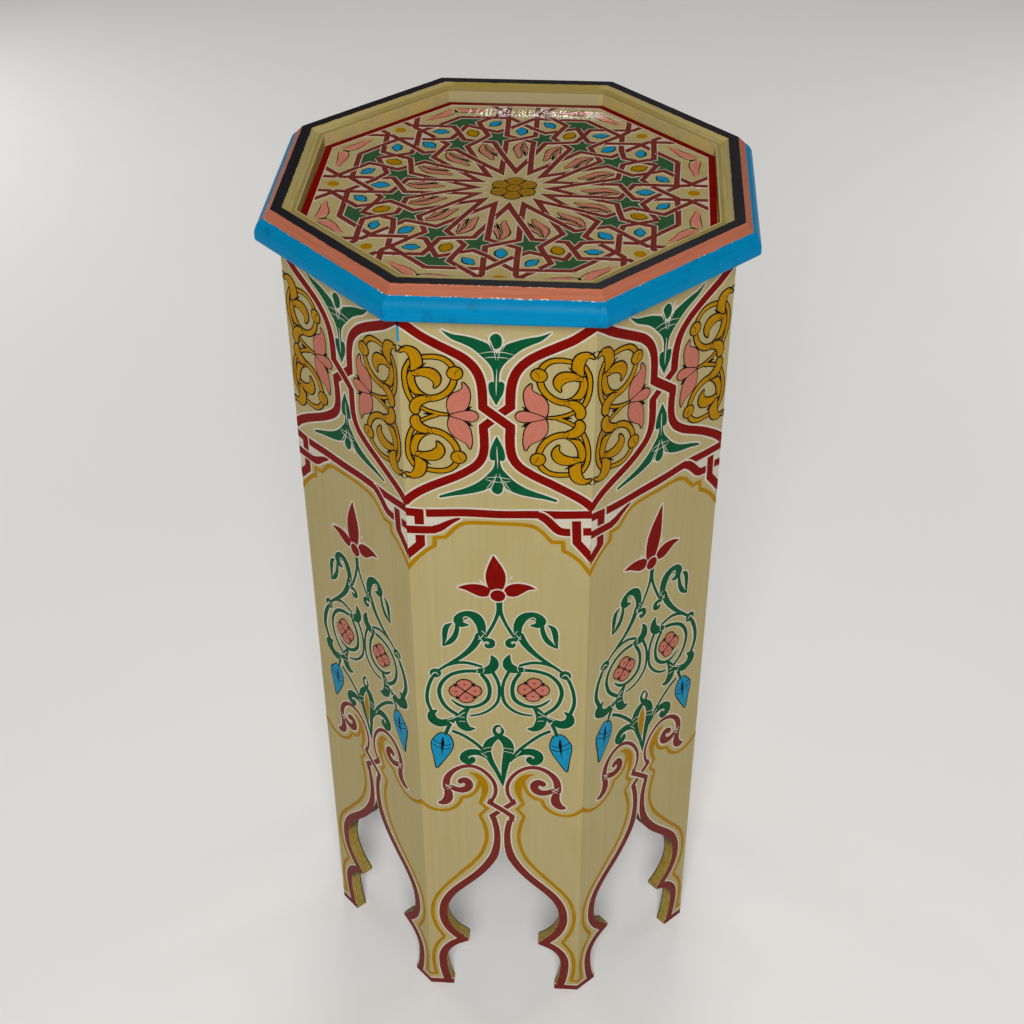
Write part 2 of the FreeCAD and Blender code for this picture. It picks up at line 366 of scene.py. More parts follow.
@dataclass(frozen=True)
class RimPaint(Finish):
    """Gloss oil paint on the moulded rim in four bands, cut in freehand.

    Blue on the outer face, salmon on the bevel, black on the flat and cream in the hollow, paler on the
    wall below it; the two creams stand for light and shade. The meeting lines waver, brush marks run along
    the rails, and chips of an older orange coat show on the bevel's outer edge. Painted highlights, white
    glints with some chipped white, run broken along the bevel's outer edge, most on the front rail, and
    along the black flat's outer edge at the front. The rim is bare dark wood underneath, and that dark brown
    runs up the lowest strip of the outer face as painted shade.
    """

    blue: str = "#0384b6"
    blue_deep: str = "#037fae"
    blue_dark: str = "#03749f"
    salmon: str = "#bb6f54"
    salmon_deep: str = "#b1674c"
    black: str = "#1f1d20"
    cream: str = "#b0a16a"
    cream_deep: str = "#a59456"
    wall: str = "#afa37a"
    stain: str = "#a5882d"
    far_cove: str = "#96813f"
    wall_aged: str = "#c2ab67"
    lip_highlight: str = "#b7a670"
    quirk_shade: str = "#816d34"
    chip: str = "#c9642a"
    glint_and_chip_white: str = "#d3cbbe"
    bare: str = "#3a2b1b"
    wall_line: float = 145.3 * MM
    quirk_line: float = 147.7 * MM
    lip_line: float = 150.9 * MM
    hollow_line: float = 153.4 * MM
    black_line: float = 161 * MM
    bevel_line: float = 166.4 * MM
    foot: float = 692 * MM
    waver: float = 1.1 * MM
    soft: float = 0.15 * MM
    streak_size: Triple = (1.1 * MM, 1.1 * MM, 38 * MM)
    blot_size: float = 14 * MM
    waver_size: float = 7 * MM
    fleck_size: float = 2.2 * MM
    slanted: Span = (52 * MM, 66 * MM)
    far: Span = (60 * MM, 115 * MM)
    front: Span = (-152 * MM, -164 * MM)
    crest_run: Span = (50 * MM, 20 * MM)
    crest_front: Span = (0.0, -100 * MM)
    depth: float = field(default=0.06 * MM, kw_only=True)

    def shade(self, tree: Tree, place: Socket) -> tuple[Socket, Socket]:
        """Picks the band by distance from the middle, with a wavering line, and streaks it along the rail.

        Args:
            tree: The material's node tree.
            place: The coordinates on the piece.
        Returns:
            Its colour and its streaks.
        """
        x, y, z = add(tree, "SeparateXYZ", {0: place}).node.outputs
        out = apothem(tree, place)
        turn = add(tree, "Math", {0: y, 1: x}, operation="ARCTAN2")
        run = add(tree, "Math", {0: turn, 1: self.black_line}, operation="MULTIPLY")
        rail = add(tree, "CombineXYZ", {0: out, 1: z, 2: run})
        streak = blots(tree, rail, *self.streak_size)
        blot = blots(tree, place, self.blot_size)
        waver = blots(tree, place, self.waver_size)
        fleck = blots(tree, place, self.fleck_size)
        drift = add(tree, "Math", {0: waver, 1: 0.5}, operation="SUBTRACT")
        line = add(tree, "Math", {0: drift, 1: self.waver, 2: out}, operation="MULTIPLY_ADD")
        aside = add(tree, "Math", {0: x}, operation="ABSOLUTE")
        hair = where(tree, (streak, 0.38, 0.6))
        hollow = self.hollow(tree, (aside, *self.slanted), y, out, blot, hair)
        salmon = coats(tree, self.salmon_deep, (hair, self.salmon))
        pooled = where(tree, (blot, 0.56, 0.72))
        blue = coats(tree, self.blue_deep, (hair, self.blue), (pooled, self.blue_dark))
        chipped = where(tree, (waver, 0.58, 0.62),
                        (line, self.bevel_line - 1.3 * MM, self.bevel_line - 0.8 * MM))
        # Painted highlights: broken white glints, with some chipped white, along the bevel's outer edge, most
        # on the front rail, and along the black flat's outer edge at the front middle.
        front = where(tree, (y, *self.front))
        glint_fleck = add(tree, "Math", {0: front, 1: 0.1, 2: fleck}, operation="MULTIPLY_ADD")
        bevel_glint = where(tree, (line, self.bevel_line - 0.4 * MM, self.bevel_line - 0.25 * MM),
                      (line, self.bevel_line + 0.4 * MM, self.bevel_line + 0.25 * MM), (glint_fleck, 0.62, 0.72))
        black_edge_glint = where(tree, (line, self.black_line - 0.3 * MM, self.black_line - 0.15 * MM),
                      (line, self.black_line + 0.3 * MM, self.black_line + 0.15 * MM),
                      (aside, *self.crest_run), (y, *self.crest_front), (fleck, 0.5, 0.6))
        painted_glints = add(tree, "Math", {0: bevel_glint, 1: black_edge_glint}, operation="ADD")
        past_hollow, past_black, past_bevel = (
            where(tree, (line, edge - self.soft, edge + self.soft))
            for edge in (self.hollow_line, self.black_line, self.bevel_line))
        # Dark brown at the rim's foot: bare wood on the underside, and painted shade on the outer face's
        # lowest strip.
        arris = where(tree, (z, self.foot + 0.9 * MM, self.foot + 0.4 * MM))
        paint = coats(tree, hollow, (past_hollow, self.black), (past_black, salmon), (chipped, self.chip),
                      (past_bevel, blue), (painted_glints, self.glint_and_chip_white), (arris, self.bare))
        return paint, streak

    def hollow(self, tree: Tree, corner: tuple[Socket, float, float], y: Socket, out: Socket, blot: Socket,
               hair: Socket) -> Socket:
        """Paints the hollow and the wall under it: painted shade in the hollow against a paler wall, a
        painted highlight on the lip and painted shade in the quirk on the rails aslant and beside, the hollow
        darker and yellower towards the back, and yellow stains on the wall of those rails.

        Args:
            tree: The material's node tree.
            corner: The rise that counts on the slanted rails and the side ones.
            y: The coordinate towards the back.
            out: The distance from the middle.
            blot: Slow stains.
            hair: The brush's hairs.
        Returns:
            The colour.
        """
        half = 0.5 * MM
        stained = where(tree, (blot, 0.55, 0.7), share=0.6)
        # The hollow turns darker and yellower towards the back.
        far = where(tree, (y, *self.far), share=0.8)
        # Painted highlight on the hollow's lip and painted shade in its quirk, on the rails aslant and
        # beside.
        lip_highlight = where(tree, (out, self.lip_line - half, self.lip_line + half), corner, share=0.7)
        quirk_shade = where(tree, (out, self.quirk_line + half, self.quirk_line - half), corner, share=0.55)
        cove = coats(tree, self.cream_deep, (hair, self.cream), (stained, self.stain), (far, self.far_cove),
                     (lip_highlight, self.lip_highlight), (quirk_shade, self.quirk_shade))
        yellowed = add(tree, "Math", {0: where(tree, (blot, 0.35, 0.65)), 1: 0.25}, operation="ADD")
        yellowed = add(tree, "Math", {0: where(tree, corner), 1: yellowed}, operation="MULTIPLY")
        # The hollow's creams over a paler wall: painted shade in the hollow, painted light on the wall.
        above = where(tree, (out, self.wall_line - 0.3 * MM, self.wall_line))
        return coats(tree, self.wall, (yellowed, self.wall_aged), (above, cove))


@dataclass(frozen=True)
class TrayPaint(Finish):
    """Cream oil paint on the tray, streaked along the board and yellowed in blots by the varnish over it."""

    cream: str = "#af9f6b"
    pale: str = "#b4a575"
    stain: str = "#a69254"
    streak_size: Triple = (90 * MM, 2.2 * MM, 10 * MM)
    blot_size: float = 30 * MM

    def shade(self, tree: Tree, place: Socket) -> tuple[Socket, Socket]:
        """Streaks the cream along the board and stains it in blots.

        Args:
            tree: The material's node tree.
            place: The coordinates on the piece.
        Returns:
            Its colour and its streaks.
        """
        streak = blots(tree, place, *self.streak_size)
        blot = blots(tree, place, self.blot_size)
        light = where(tree, (streak, 0.4, 0.65))
        stained = where(tree, (blot, 0.48, 0.72), share=0.6)
        return coats(tree, self.cream, (light, self.pale), (stained, self.stain)), streak


@dataclass(frozen=True)
class Mottle(Finish):
    """A plain matter in two tones, the dark one in blots, or in lines where one size of a blot is long."""

    light: str = "#ffffff"
    dark: str = "#000000"
    blot: tuple[float, ...] = (MM,)
    edge: Span = (0.4, 0.6)

    def shade(self, tree: Tree, place: Socket) -> tuple[Socket, Socket]:
        """Mottles the light tone with the dark one; the blots also roughen it."""
        spot = blots(tree, place, *self.blot)
        return coats(tree, self.dark, (where(tree, (spot, *self.edge)), self.light)), spot


@dataclass(frozen=True)
class BareWood(Mottle):
    """Sawn pine left bare, with brown growth lines along the piece and a dull fuzzy saw face."""

    light: str = "#b08a5a"
    dark: str = "#8a6238"
    blot: tuple[float, ...] = (1.6 * MM, 1.6 * MM, 70 * MM)
    edge: Span = (0.38, 0.62)
    depth: float = field(default=0.2 * MM, kw_only=True)


@dataclass(frozen=True)
class DrawnSteel(Mottle):
    """Bright drawn steel of pins and screws, dulled in spots by handling."""

    light: str = "#b9b9b6"
    dark: str = "#7f7c76"
    blot: tuple[float, ...] = (1.2 * MM,)
    depth: float = field(default=0.02 * MM, kw_only=True)
    metallic: float = field(default=1.0, kw_only=True)


@dataclass(frozen=True)
class FloorPaper(Finish):
    """Matt pale paper, almost white, with a faint mottle and a little light of its own."""

    pale: str = "#f4f3f0"
    grey: str = "#eeedea"
    blot: float = 0.4
    glow: float = 0.1
    depth: float = field(default=0.0, kw_only=True)

    def material(self) -> bpy.types.Material:
        """Makes the paper, and lets it glow.

        Returns:
            The material.
        """
        material = super().material()
        shader = material.node_tree.nodes["Principled BSDF"]
        shader.inputs["Emission Color"].default_value = linear(self.pale)
        shader.inputs["Emission Strength"].default_value = self.glow
        return material

    def shade(self, tree: Tree, place: Socket) -> tuple[Socket, Socket]:
        """Mottles the paper slowly."""
        mottle = blots(tree, place, self.blot)
        return coats(tree, self.grey, (mottle, self.pale)), mottle


class Paint(Enum):
    """The painter's pots."""

    RED = "red"
    MAROON = "maroon"
    WHITE = "white"
    GREEN = "green"
    OCHRE = "ochre"
    GOLD = "gold"
    PINK = "pink"
    ROSE = "rose"
    BLUE = "blue"
    BLACK = "black"


def pot(name: str, roughness: float, *tones: str) -> BrushPaint:
    """Gives a pot of oil paint: its full, deep and dry tones."""
    return BrushPaint(f"{name}_oil_paint_brushed", roughness, 0.03, *tones)


POTS: dict[Paint, BrushPaint] = {
    Paint.RED: pot("red", 0.34, "#800c02", "#6e0702", "#872414"),
    Paint.MAROON: pot("maroon", 0.34, "#782f28", "#6a261f", "#83433a"),
    Paint.WHITE: pot("white", 0.36, "#cfc7b8", "#c3bba8", "#bfb28c"),
    Paint.GREEN: pot("green", 0.34, "#0a5634", "#074729", "#286441"),
    Paint.OCHRE: pot("ochre", 0.36, "#aa7c02", "#996e02", "#af8a2c"),
    Paint.GOLD: pot("golden_ochre", 0.34, "#b58202", "#a17002", "#ba9028"),
    Paint.PINK: pot("pink", 0.36, "#c07461", "#b26654", "#c38a72"),
    Paint.ROSE: pot("dull_rose", 0.36, "#b8745f", "#a8644f", "#b68468"),
    Paint.BLUE: pot("blue", 0.34, "#1d8fb8", "#147da4", "#409fbe"),
    Paint.BLACK: pot("black", 0.36, "#0d0b09", "#0a0806", "#1f1913"),
}
TRAY_POTS: dict[Paint, BrushPaint] = POTS | {
    Paint.MAROON: pot("red_brown", 0.34, "#79342a", "#6b2a22", "#82483d"),
    Paint.GREEN: pot("grey_green", 0.34, "#375b3a", "#2e4f31", "#456b4b"),
    Paint.GOLD: pot("dull_gold", 0.34, "#9b731e", "#8a6319", "#a07f33"),
    Paint.WHITE: pot("yellowed_white", 0.36, "#c6b6a2", "#baab95", "#b8a67e"),
    Paint.PINK: pot("light_pink", 0.36, "#cd7f6c", "#bf715f", "#cd937c"),
    Paint.ROSE: pot("light_rose", 0.36, "#c07b66", "#b06b56", "#bd8b70"),
}


def shares(counts: Array) -> tuple[Array, Array]:
    """Divides stretches into even steps.

    Args:
        counts: How many steps each stretch has.
    Returns:
        For each sample its stretch, and its share of the way along it as a column.
    """
    piece = np.append(np.repeat(np.arange(len(counts)), counts), len(counts) - 1)
    return piece, np.append(np.concatenate([np.arange(count) / count for count in counts]), 1.0)[:, None]


@dataclass(frozen=True)
class Stroke:
    """One pull of the brush: a line through chosen points, with a width that swells and thins along it.

    A ruled stroke is straight between its points with mitred turns; the others are smooth and round at
    their ends. A steady one keeps to a sawn edge. The level says which stroke lies over which.
    """

    paint: Paint
    widths: tuple[float, ...]
    path: tuple[Point, ...]
    level: float = 2.0
    ruled: bool = False
    steady: bool = False

    def line(self, step: float) -> Array:
        """Samples the stroke; a ruled one only at its points.

        A smooth line is a centripetal Catmull-Rom curve through the points, with the width as a third
        coordinate.
        Args:
            step: Distance between samples, in millimetres.
        Returns:
            One row per sample: x, z and width.
        """
        path = np.array(self.path, float)
        spots = np.linspace(0, 1, len(path))
        widths = np.interp(spots, np.linspace(0, 1, len(self.widths)), self.widths)
        knots = np.column_stack([path, widths])
        if self.ruled:
            return knots
        reach = np.linalg.norm(np.diff(path, axis=0), axis=1)
        fewest = DAB_STEPS if len(path) == 2 else LEAST_STEPS
        piece, share = shares(np.maximum(np.ceil(reach / step).astype(int), fewest))
        ends = np.vstack([2 * knots[0] - knots[1], knots, 2 * knots[-1] - knots[-2]])
        gaps = np.sqrt(np.linalg.norm(np.diff(ends[:, :2], axis=0), axis=1))
        times = np.concatenate([[0], np.cumsum(gaps)])[:, None]
        t0, t1, t2, t3 = (times[piece + shift] for shift in range(4))
        p0, p1, p2, p3 = (ends[piece + shift] for shift in range(4))
        now = t1 + share * (t2 - t1)
        a1 = p0 + (p1 - p0) * (now - t0) / (t1 - t0)
        a2 = p1 + (p2 - p1) * (now - t1) / (t2 - t1)
        a3 = p2 + (p3 - p2) * (now - t2) / (t3 - t2)
        b1 = a1 + (a2 - a1) * (now - t0) / (t2 - t0)
        b2 = a2 + (a3 - a2) * (now - t1) / (t3 - t1)
        return b1 + (b2 - b1) * (now - t1) / (t2 - t1)

    def grown(self, paint: Paint, margin: float, drop: float) -> Stroke:
        """Gives a wider stroke of another paint that shows as an outline from under this one.

        A ruled one stops short of the ends, so that the next length of a band joins without a line across it.
        Args:
            paint: The outline's paint.
            margin: How far the outline shows, in millimetres.
            drop: How many levels below this stroke it lies.
        Returns:
            The outline stroke.
        """
        path = np.array(self.path, float)
        first, last = path[0] - path[1], path[-1] - path[-2]
        longer = -RULED_SHORT if self.ruled else margin
        path[0] += first / np.linalg.norm(first) * longer
        path[-1] += last / np.linalg.norm(last) * longer
        widths = tuple(width + 2 * margin for width in self.widths)
        return replace(self, paint=paint, widths=widths, path=tuple(map(tuple, path)),
                       level=self.level - drop)


@dataclass(frozen=True)
class Patch:
    """A flat area filled with paint up to the strokes around it; its path is its outline."""

    paint: Paint
    path: tuple[Point, ...]
    level: float = 0.6


Mark = Stroke | Patch


def pull(paint: Paint, widths: float | tuple[float, ...], *path: Point, level: float = 2.0) -> Stroke:
    """Draws a smooth stroke; one width holds all along it."""
    return Stroke(paint, widths if isinstance(widths, tuple) else (widths,), path, level)


def drawn(paint: Paint, rows: Iterable[tuple], level: float = 2.0) -> list[Stroke]:
    """Draws smooth strokes of one paint; a row has the stroke's width or widths, then its points."""
    return [pull(paint, widths, *path, level=level) for widths, *path in rows]


def rule(paint: Paint, width: float, *path: Point, level: float = 2.0) -> Stroke:
    """Draws a straight-edged stroke with mitred turns."""
    return Stroke(paint, (width,), path, level, ruled=True)


def dab(paint: Paint, x: float, z: float, radius: float, level: float = 2.0) -> Stroke:
    """Draws a round dab: a stroke as wide as it is long, with round ends."""
    return Stroke(paint, (2 * radius,), ((x - radius, z), (x + radius, z)), level)


def edged(strokes: Iterable[Stroke], paint: Paint = Paint.WHITE, margin: float = 1.15,
          drop: float = 1.0) -> list[Stroke]:
    """Gives the strokes with an outline of another paint under each."""
    kept = list(strokes)
    return [stroke.grown(paint, margin, drop) for stroke in kept] + kept


def fuller(strokes: Iterable[Stroke], extra: float) -> list[Stroke]:
    """Gives the strokes with a fuller brush, all along wider by the extra millimetres."""
    return [replace(stroke, widths=tuple(width + extra for width in stroke.widths)) for stroke in strokes]


def moved(marks: Iterable[Mark], change: Callable[[float, float], Point]) -> list[Mark]:
    """Gives the marks with each of their points moved."""
    return [replace(mark, path=tuple(change(*point) for point in mark.path)) for mark in marks]


def both(strokes: Iterable[Stroke]) -> list[Stroke]:
    """Gives the strokes and their mirror images across the side's middle line."""
    kept = list(strokes)
    return kept + moved(kept, lambda x, z: (-x, z))


def flipped(strokes: Iterable[Stroke], height: float) -> list[Stroke]:
    """Gives the strokes turned upside down about a height."""
    return moved(strokes, lambda x, z: (x, 2 * height - z))


def turned(point: Point, angle: float) -> Point:
    """Turns a point about the middle."""
    cosine, sine = math.cos(angle), math.sin(angle)
    return (point[0] * cosine - point[1] * sine, point[0] * sine + point[1] * cosine)


def carried(marks: Iterable[Mark], angle: float) -> list[Mark]:
    """Gives the marks turned about the middle of the tray."""
    return moved(marks, lambda x, y: turned((x, y), angle))


@dataclass(frozen=True)
class Hand:
    """How the freehand vine of one side differs from the pattern.

    The lean lifts its right half and drops its left, the squeeze narrows it; the flower stands taller by
    tall and its tip sways to the right, both in millimetres.
    """

    lean: float = 0.0
    squeeze: float = 1.0
    tall: float = 0.0
    sway: float = 0.0


HANDS = (
    Hand(lean=0.09),
    Hand(lean=-0.12, squeeze=0.94, tall=14, sway=10),
    Hand(lean=0.05, squeeze=0.98, tall=4, sway=2),
    Hand(lean=-0.08, squeeze=0.95, tall=10, sway=5),
    Hand(lean=0.06, tall=2),
    Hand(lean=0.1, squeeze=0.96, tall=12, sway=8),
    Hand(lean=-0.05, squeeze=0.97, tall=3, sway=1),
    Hand(lean=0.15, squeeze=0.89, tall=8, sway=4),
)


@dataclass(frozen=True)
class SideGround:
    """One flat side of the body, and the way a painter's hand wanders on it."""

    index: int
    apothem: float
    drift: float = 0.5
    hand: Hand = Hand()
    vine_middle: float = 340.0
    vine_reach: float = 75.0
    vine_half: float = 52.0
    vine_span: tuple[float, ...] = (215.0, 240.0, 440.0, 465.0)

    @property
    def reach(self) -> float:
        """Half the width of the side, to its corner."""
        return self.apothem * math.tan(HALF_EIGHTH)

    def wander(self, spots: Array) -> Array:
        """Moves points as an unruled hand does.

        Slow waves along the unrolled body, whole in number around it, so that strokes still meet at the
        corners; sideways moves fade out there. Between the arch and the flower the hand's lean and squeeze
        act as well; what a squeezed vine leaves free is taken up between it and the corners.
        Args:
            spots: One row per point: x and z.
        Returns:
            The moved points.
        """
        x, z = spots[:, 0], spots[:, 1]
        around = (x / self.reach / 2 + self.index) / SIDES * 2 * math.pi
        fade = np.clip(1 - (x / self.reach) ** 2, 0, 1)
        lift = np.sin(11 * around + z / 33) + 0.7 * np.sin(23 * around - z / 19 + 1.3)
        push = np.sin(9 * around + z / 27 + 0.6) + 0.7 * np.sin(19 * around - z / 41)
        tilt = self.hand.lean * x * fade * np.exp(-(((z - self.vine_middle) / self.vine_reach) ** 2))
        narrowed = (0, self.vine_half * self.hand.squeeze, self.reach)
        narrow = np.interp(np.abs(x), (0, self.vine_half, self.reach), narrowed) * np.sign(x) - x
        within = np.interp(z, self.vine_span, (0, 1, 1, 0)) * (np.abs(x) < self.reach)
        aside = x + self.drift * push * fade + narrow * within
        return np.column_stack([aside, z + self.drift * lift * 0.8 + tilt])

    def clip(self, rows: Array) -> Array:
        """Cuts a film off at the side's corners and at the floor; rows wholly past a corner go.

        Args:
            rows: The film's profiles, one after another; x and z come first.
        Returns:
            The profiles that are kept.
        """
        past = (np.abs(rows[:, :, 0]) >= self.reach).all(axis=1)
        near = np.concatenate([[False], ~past[:-1]]) | np.concatenate([~past[1:], [False]])
        kept = rows[~past | near]
        kept[:, :, 0] = np.clip(kept[:, :, 0], -self.reach, self.reach)
        kept[:, :, 1] = np.maximum(kept[:, :, 1], 0.0)
        return kept

    def lift(self, places: Array) -> Array:
        """Puts points into the frame; corners stay mitred as they rise.

        Args:
            places: x, z and height off the face, in millimetres.
        Returns:
            x, y and z, in metres.
        """
        angle = -math.pi / 2 + self.index * EIGHTH
        out = self.apothem + places[..., 2]
        along = places[..., 0] * out / self.apothem
        x = out * math.cos(angle) - along * math.sin(angle)
        y = out * math.sin(angle) + along * math.cos(angle)
        return np.stack([x, y, places[..., 1]], axis=-1) * MM


@dataclass(frozen=True)
class TrayGround:
    """The tray's top face, painted with a steadier hand; the layout slipped to the left near the front."""

    height: float
    drift: float = 0.45
    slip: float = 2.6
    slip_middle: Point = (-40.0, -85.0)
    slip_reach: Point = (55.0, 45.0)

    def wander(self, spots: Array) -> Array:
        """Moves points by slow waves in both directions and by the slip.

        Args:
            spots: One row per point: x and y.
        Returns:
            The moved points.
        """
        x, y = spots[:, 0], spots[:, 1]
        push = np.sin(x / 23 + y / 31) + 0.7 * np.sin(y / 14 - x / 37 + 0.9)
        lift = np.sin(y / 25 - x / 29 + 1.7) + 0.7 * np.sin(x / 16 + y / 43)
        off = (spots - self.slip_middle) / self.slip_reach
        near = np.exp(-(off[:, 0] ** 2) - off[:, 1] ** 2)
        return np.column_stack([x + self.drift * push - self.slip * near, y + self.drift * lift])

    def clip(self, rows: Array) -> Array:
        """Leaves a film whole: nothing on the tray reaches its edge unhidden."""
        return rows

    def lift(self, places: Array) -> Array:
        """Puts points (x, y, height off the face) into the frame, in metres."""
        return (places + np.array([0, 0, self.height])) * MM


@dataclass
class FilmMesh:
    """The films of one paint on one ground, gathered into one piece."""

    ground: SideGround | TrayGround
    step: float = 0.9
    ruled_step: float = 4.0
    bottom: float = -0.03
    layer: float = 0.06
    jitter: float = 0.28
    shoulder: float = 0.2
    flat_share: float = 0.4
    least_half: float = 0.06
    sharpest: float = 0.35
    bend_share: float = 0.9
    flow_shift: float = 0.037
    places: list[Array] = field(default_factory=list)
    flows: list[Array] = field(default_factory=list)
    faces: list[list[int]] = field(default_factory=list)
    count: int = 0

    def top(self, level: float) -> float:
        """Gives how high a film of that level stands off its ground; no two films lie quite level."""
        return self.layer * (1 + level + self.jitter * (GOLDEN * len(self.places) % 1))

    def keep(self, places: Array, flow: Array) -> int:
        """Stores points with their brush map.

        Args:
            places: The points, in metres.
            flow: For each, how far along and across its stroke it lies, in metres.
        Returns:
            The number of the first point.
        """
        first = self.count
        self.places.append(places.reshape(-1, 3))
        self.flows.append(flow.reshape(-1, 2) + self.flow_shift * len(self.flows))
        self.count += len(self.places[-1])
        return first

    def add_stroke(self, stroke: Stroke) -> None:
        """Carries the film's profile along a stroke.

        The profile is a low flat-topped ridge of four points: left foot, left shoulder, right shoulder,
        right foot. The half width is the stroke's own, no more than nine tenths of the bend's radius on the
        inside of a bend, and at a round end r wide it is multiplied by the root of 1 - (1 - s / r) squared,
        s being the distance from that end. A ruled stroke has its profile at its points, mitred, and
        straight runs of it between them.
        Args:
            stroke: The stroke.
        """
        line = stroke.line(self.step)
        runs = np.maximum(np.linalg.norm(np.diff(line[:, :2], axis=0), axis=1), TINY)
        from_start = np.concatenate([[0], np.cumsum(runs)])
        half = line[:, 2] / 2
        heading = np.diff(line[:, :2], axis=0) / runs[:, None]
        before, after = np.vstack([heading[:1], heading]), np.vstack([heading, heading[-1:]])
        middle = before + after
        length = np.maximum(np.linalg.norm(middle, axis=1), self.sharpest)[:, None]
        side = np.column_stack([-middle[:, 1], middle[:, 0]]) / length
        left = right = half[:, None] * 2 / length
        if not stroke.ruled:
            for distance, end in ((from_start, half[0]), (from_start[-1] - from_start, half[-1])):
                half = half * np.sqrt(1 - np.clip(1 - distance / max(end, FINE), 0, 1) ** 2)
            turn = before[:, 0] * after[:, 1] - before[:, 1] * after[:, 0]
            bend = turn / np.gradient(from_start)
            left = np.minimum(half, self.bend_share / np.maximum(bend, TINY))[:, None]
            right = np.minimum(half, self.bend_share / np.maximum(-bend, TINY))[:, None]
        left, right = (np.maximum(reach, self.least_half) for reach in (left, right))
        inner_left, inner_right = (reach * np.maximum(1 - self.shoulder / reach, self.flat_share)
                                   for reach in (left, right))
        offsets = np.stack([left, inner_left, -inner_right, -right], axis=1)
        top = self.top(stroke.level)
        rows = np.empty((len(line), 4, 5))
        rows[:, :, :2] = line[:, None, :2] + side[:, None, :] * offsets
        rows[:, :, 2] = np.array([self.bottom, top, top, self.bottom])
        rows[:, :, 3], rows[:, :, 4] = from_start[:, None], offsets[:, :, 0]
        if stroke.ruled:
            piece, share = shares(np.ceil(runs / self.ruled_step).astype(int))
            rows = rows[piece] * (1 - share[:, :, None]) + rows[piece + 1] * share[:, :, None]
        if not stroke.steady:
            rows[:, :, :2] = self.ground.wander(rows[:, :, :2].reshape(-1, 2)).reshape(-1, 4, 2)
        marked = self.ground.clip(rows)
        if len(marked) < 2:
            return
        first = self.keep(self.ground.lift(marked[:, :, :3]), marked[:, :, 3:] * MM)
        ring = np.arange(4)
        along = np.arange(len(marked) - 1)[:, None] * 4
        near, far = along + ring, along + 4 + ring
        walls = np.stack([near, np.roll(near, -1, 1), np.roll(far, -1, 1), far], axis=-1).reshape(-1, 4)
        self.faces += (first + walls).tolist()
        self.faces += [(first + ring[::-1]).tolist(), (first + 4 * (len(marked) - 1) + ring).tolist()]

    def add_patch(self, patch: Patch) -> None:
        """Fills an outline with a flat film: a foot ring at the ground and the same ring at the film's top.

        Args:
            patch: The patch.
        """
        outline = np.array(patch.path, float)
        x, y = outline.T
        if np.sum(x * np.roll(y, -1) - np.roll(x, -1) * y) < 0:
            outline = outline[::-1]
        ring = self.ground.wander(outline)
        places = np.empty((2, len(ring), 3))
        places[:, :, :2] = ring
        places[:, :, 2] = np.array([[self.bottom], [self.top(patch.level)]])
        first = self.keep(self.ground.lift(places), places[:, :, :2] * MM)
        foot = first + np.arange(len(ring))
        head = foot + len(ring)
        self.faces += np.stack([foot, np.roll(foot, -1), np.roll(head, -1), head], axis=1).tolist()
        self.faces += [foot[::-1].tolist(), head.tolist()]

    def piece(self, name: str, material: bpy.types.Material, slot: str) -> bpy.types.Object:
        """Makes the gathered films one object that rides on the body.

        Args:
            name: The piece's name.
            material: Its paint.
            slot: Not used.
        Returns:
            The new object.
        """
        mesh = bpy.data.meshes.new(name)
        mesh.from_pydata(np.concatenate(self.places).tolist(), [], self.faces)
        corner = np.empty(len(mesh.loops), np.int32)
        mesh.loops.foreach_get("vertex_index", corner)
        brush = mesh.uv_layers.new(name="brush")
        brush.data.foreach_set("uv", np.concatenate(self.flows)[corner].astype(np.float32).ravel())
        mesh.materials.append(material)
        piece = bpy.data.objects.new(name, mesh)
        bpy.context.scene.collection.objects.link(piece)
        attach(piece, BODY)
        return piece


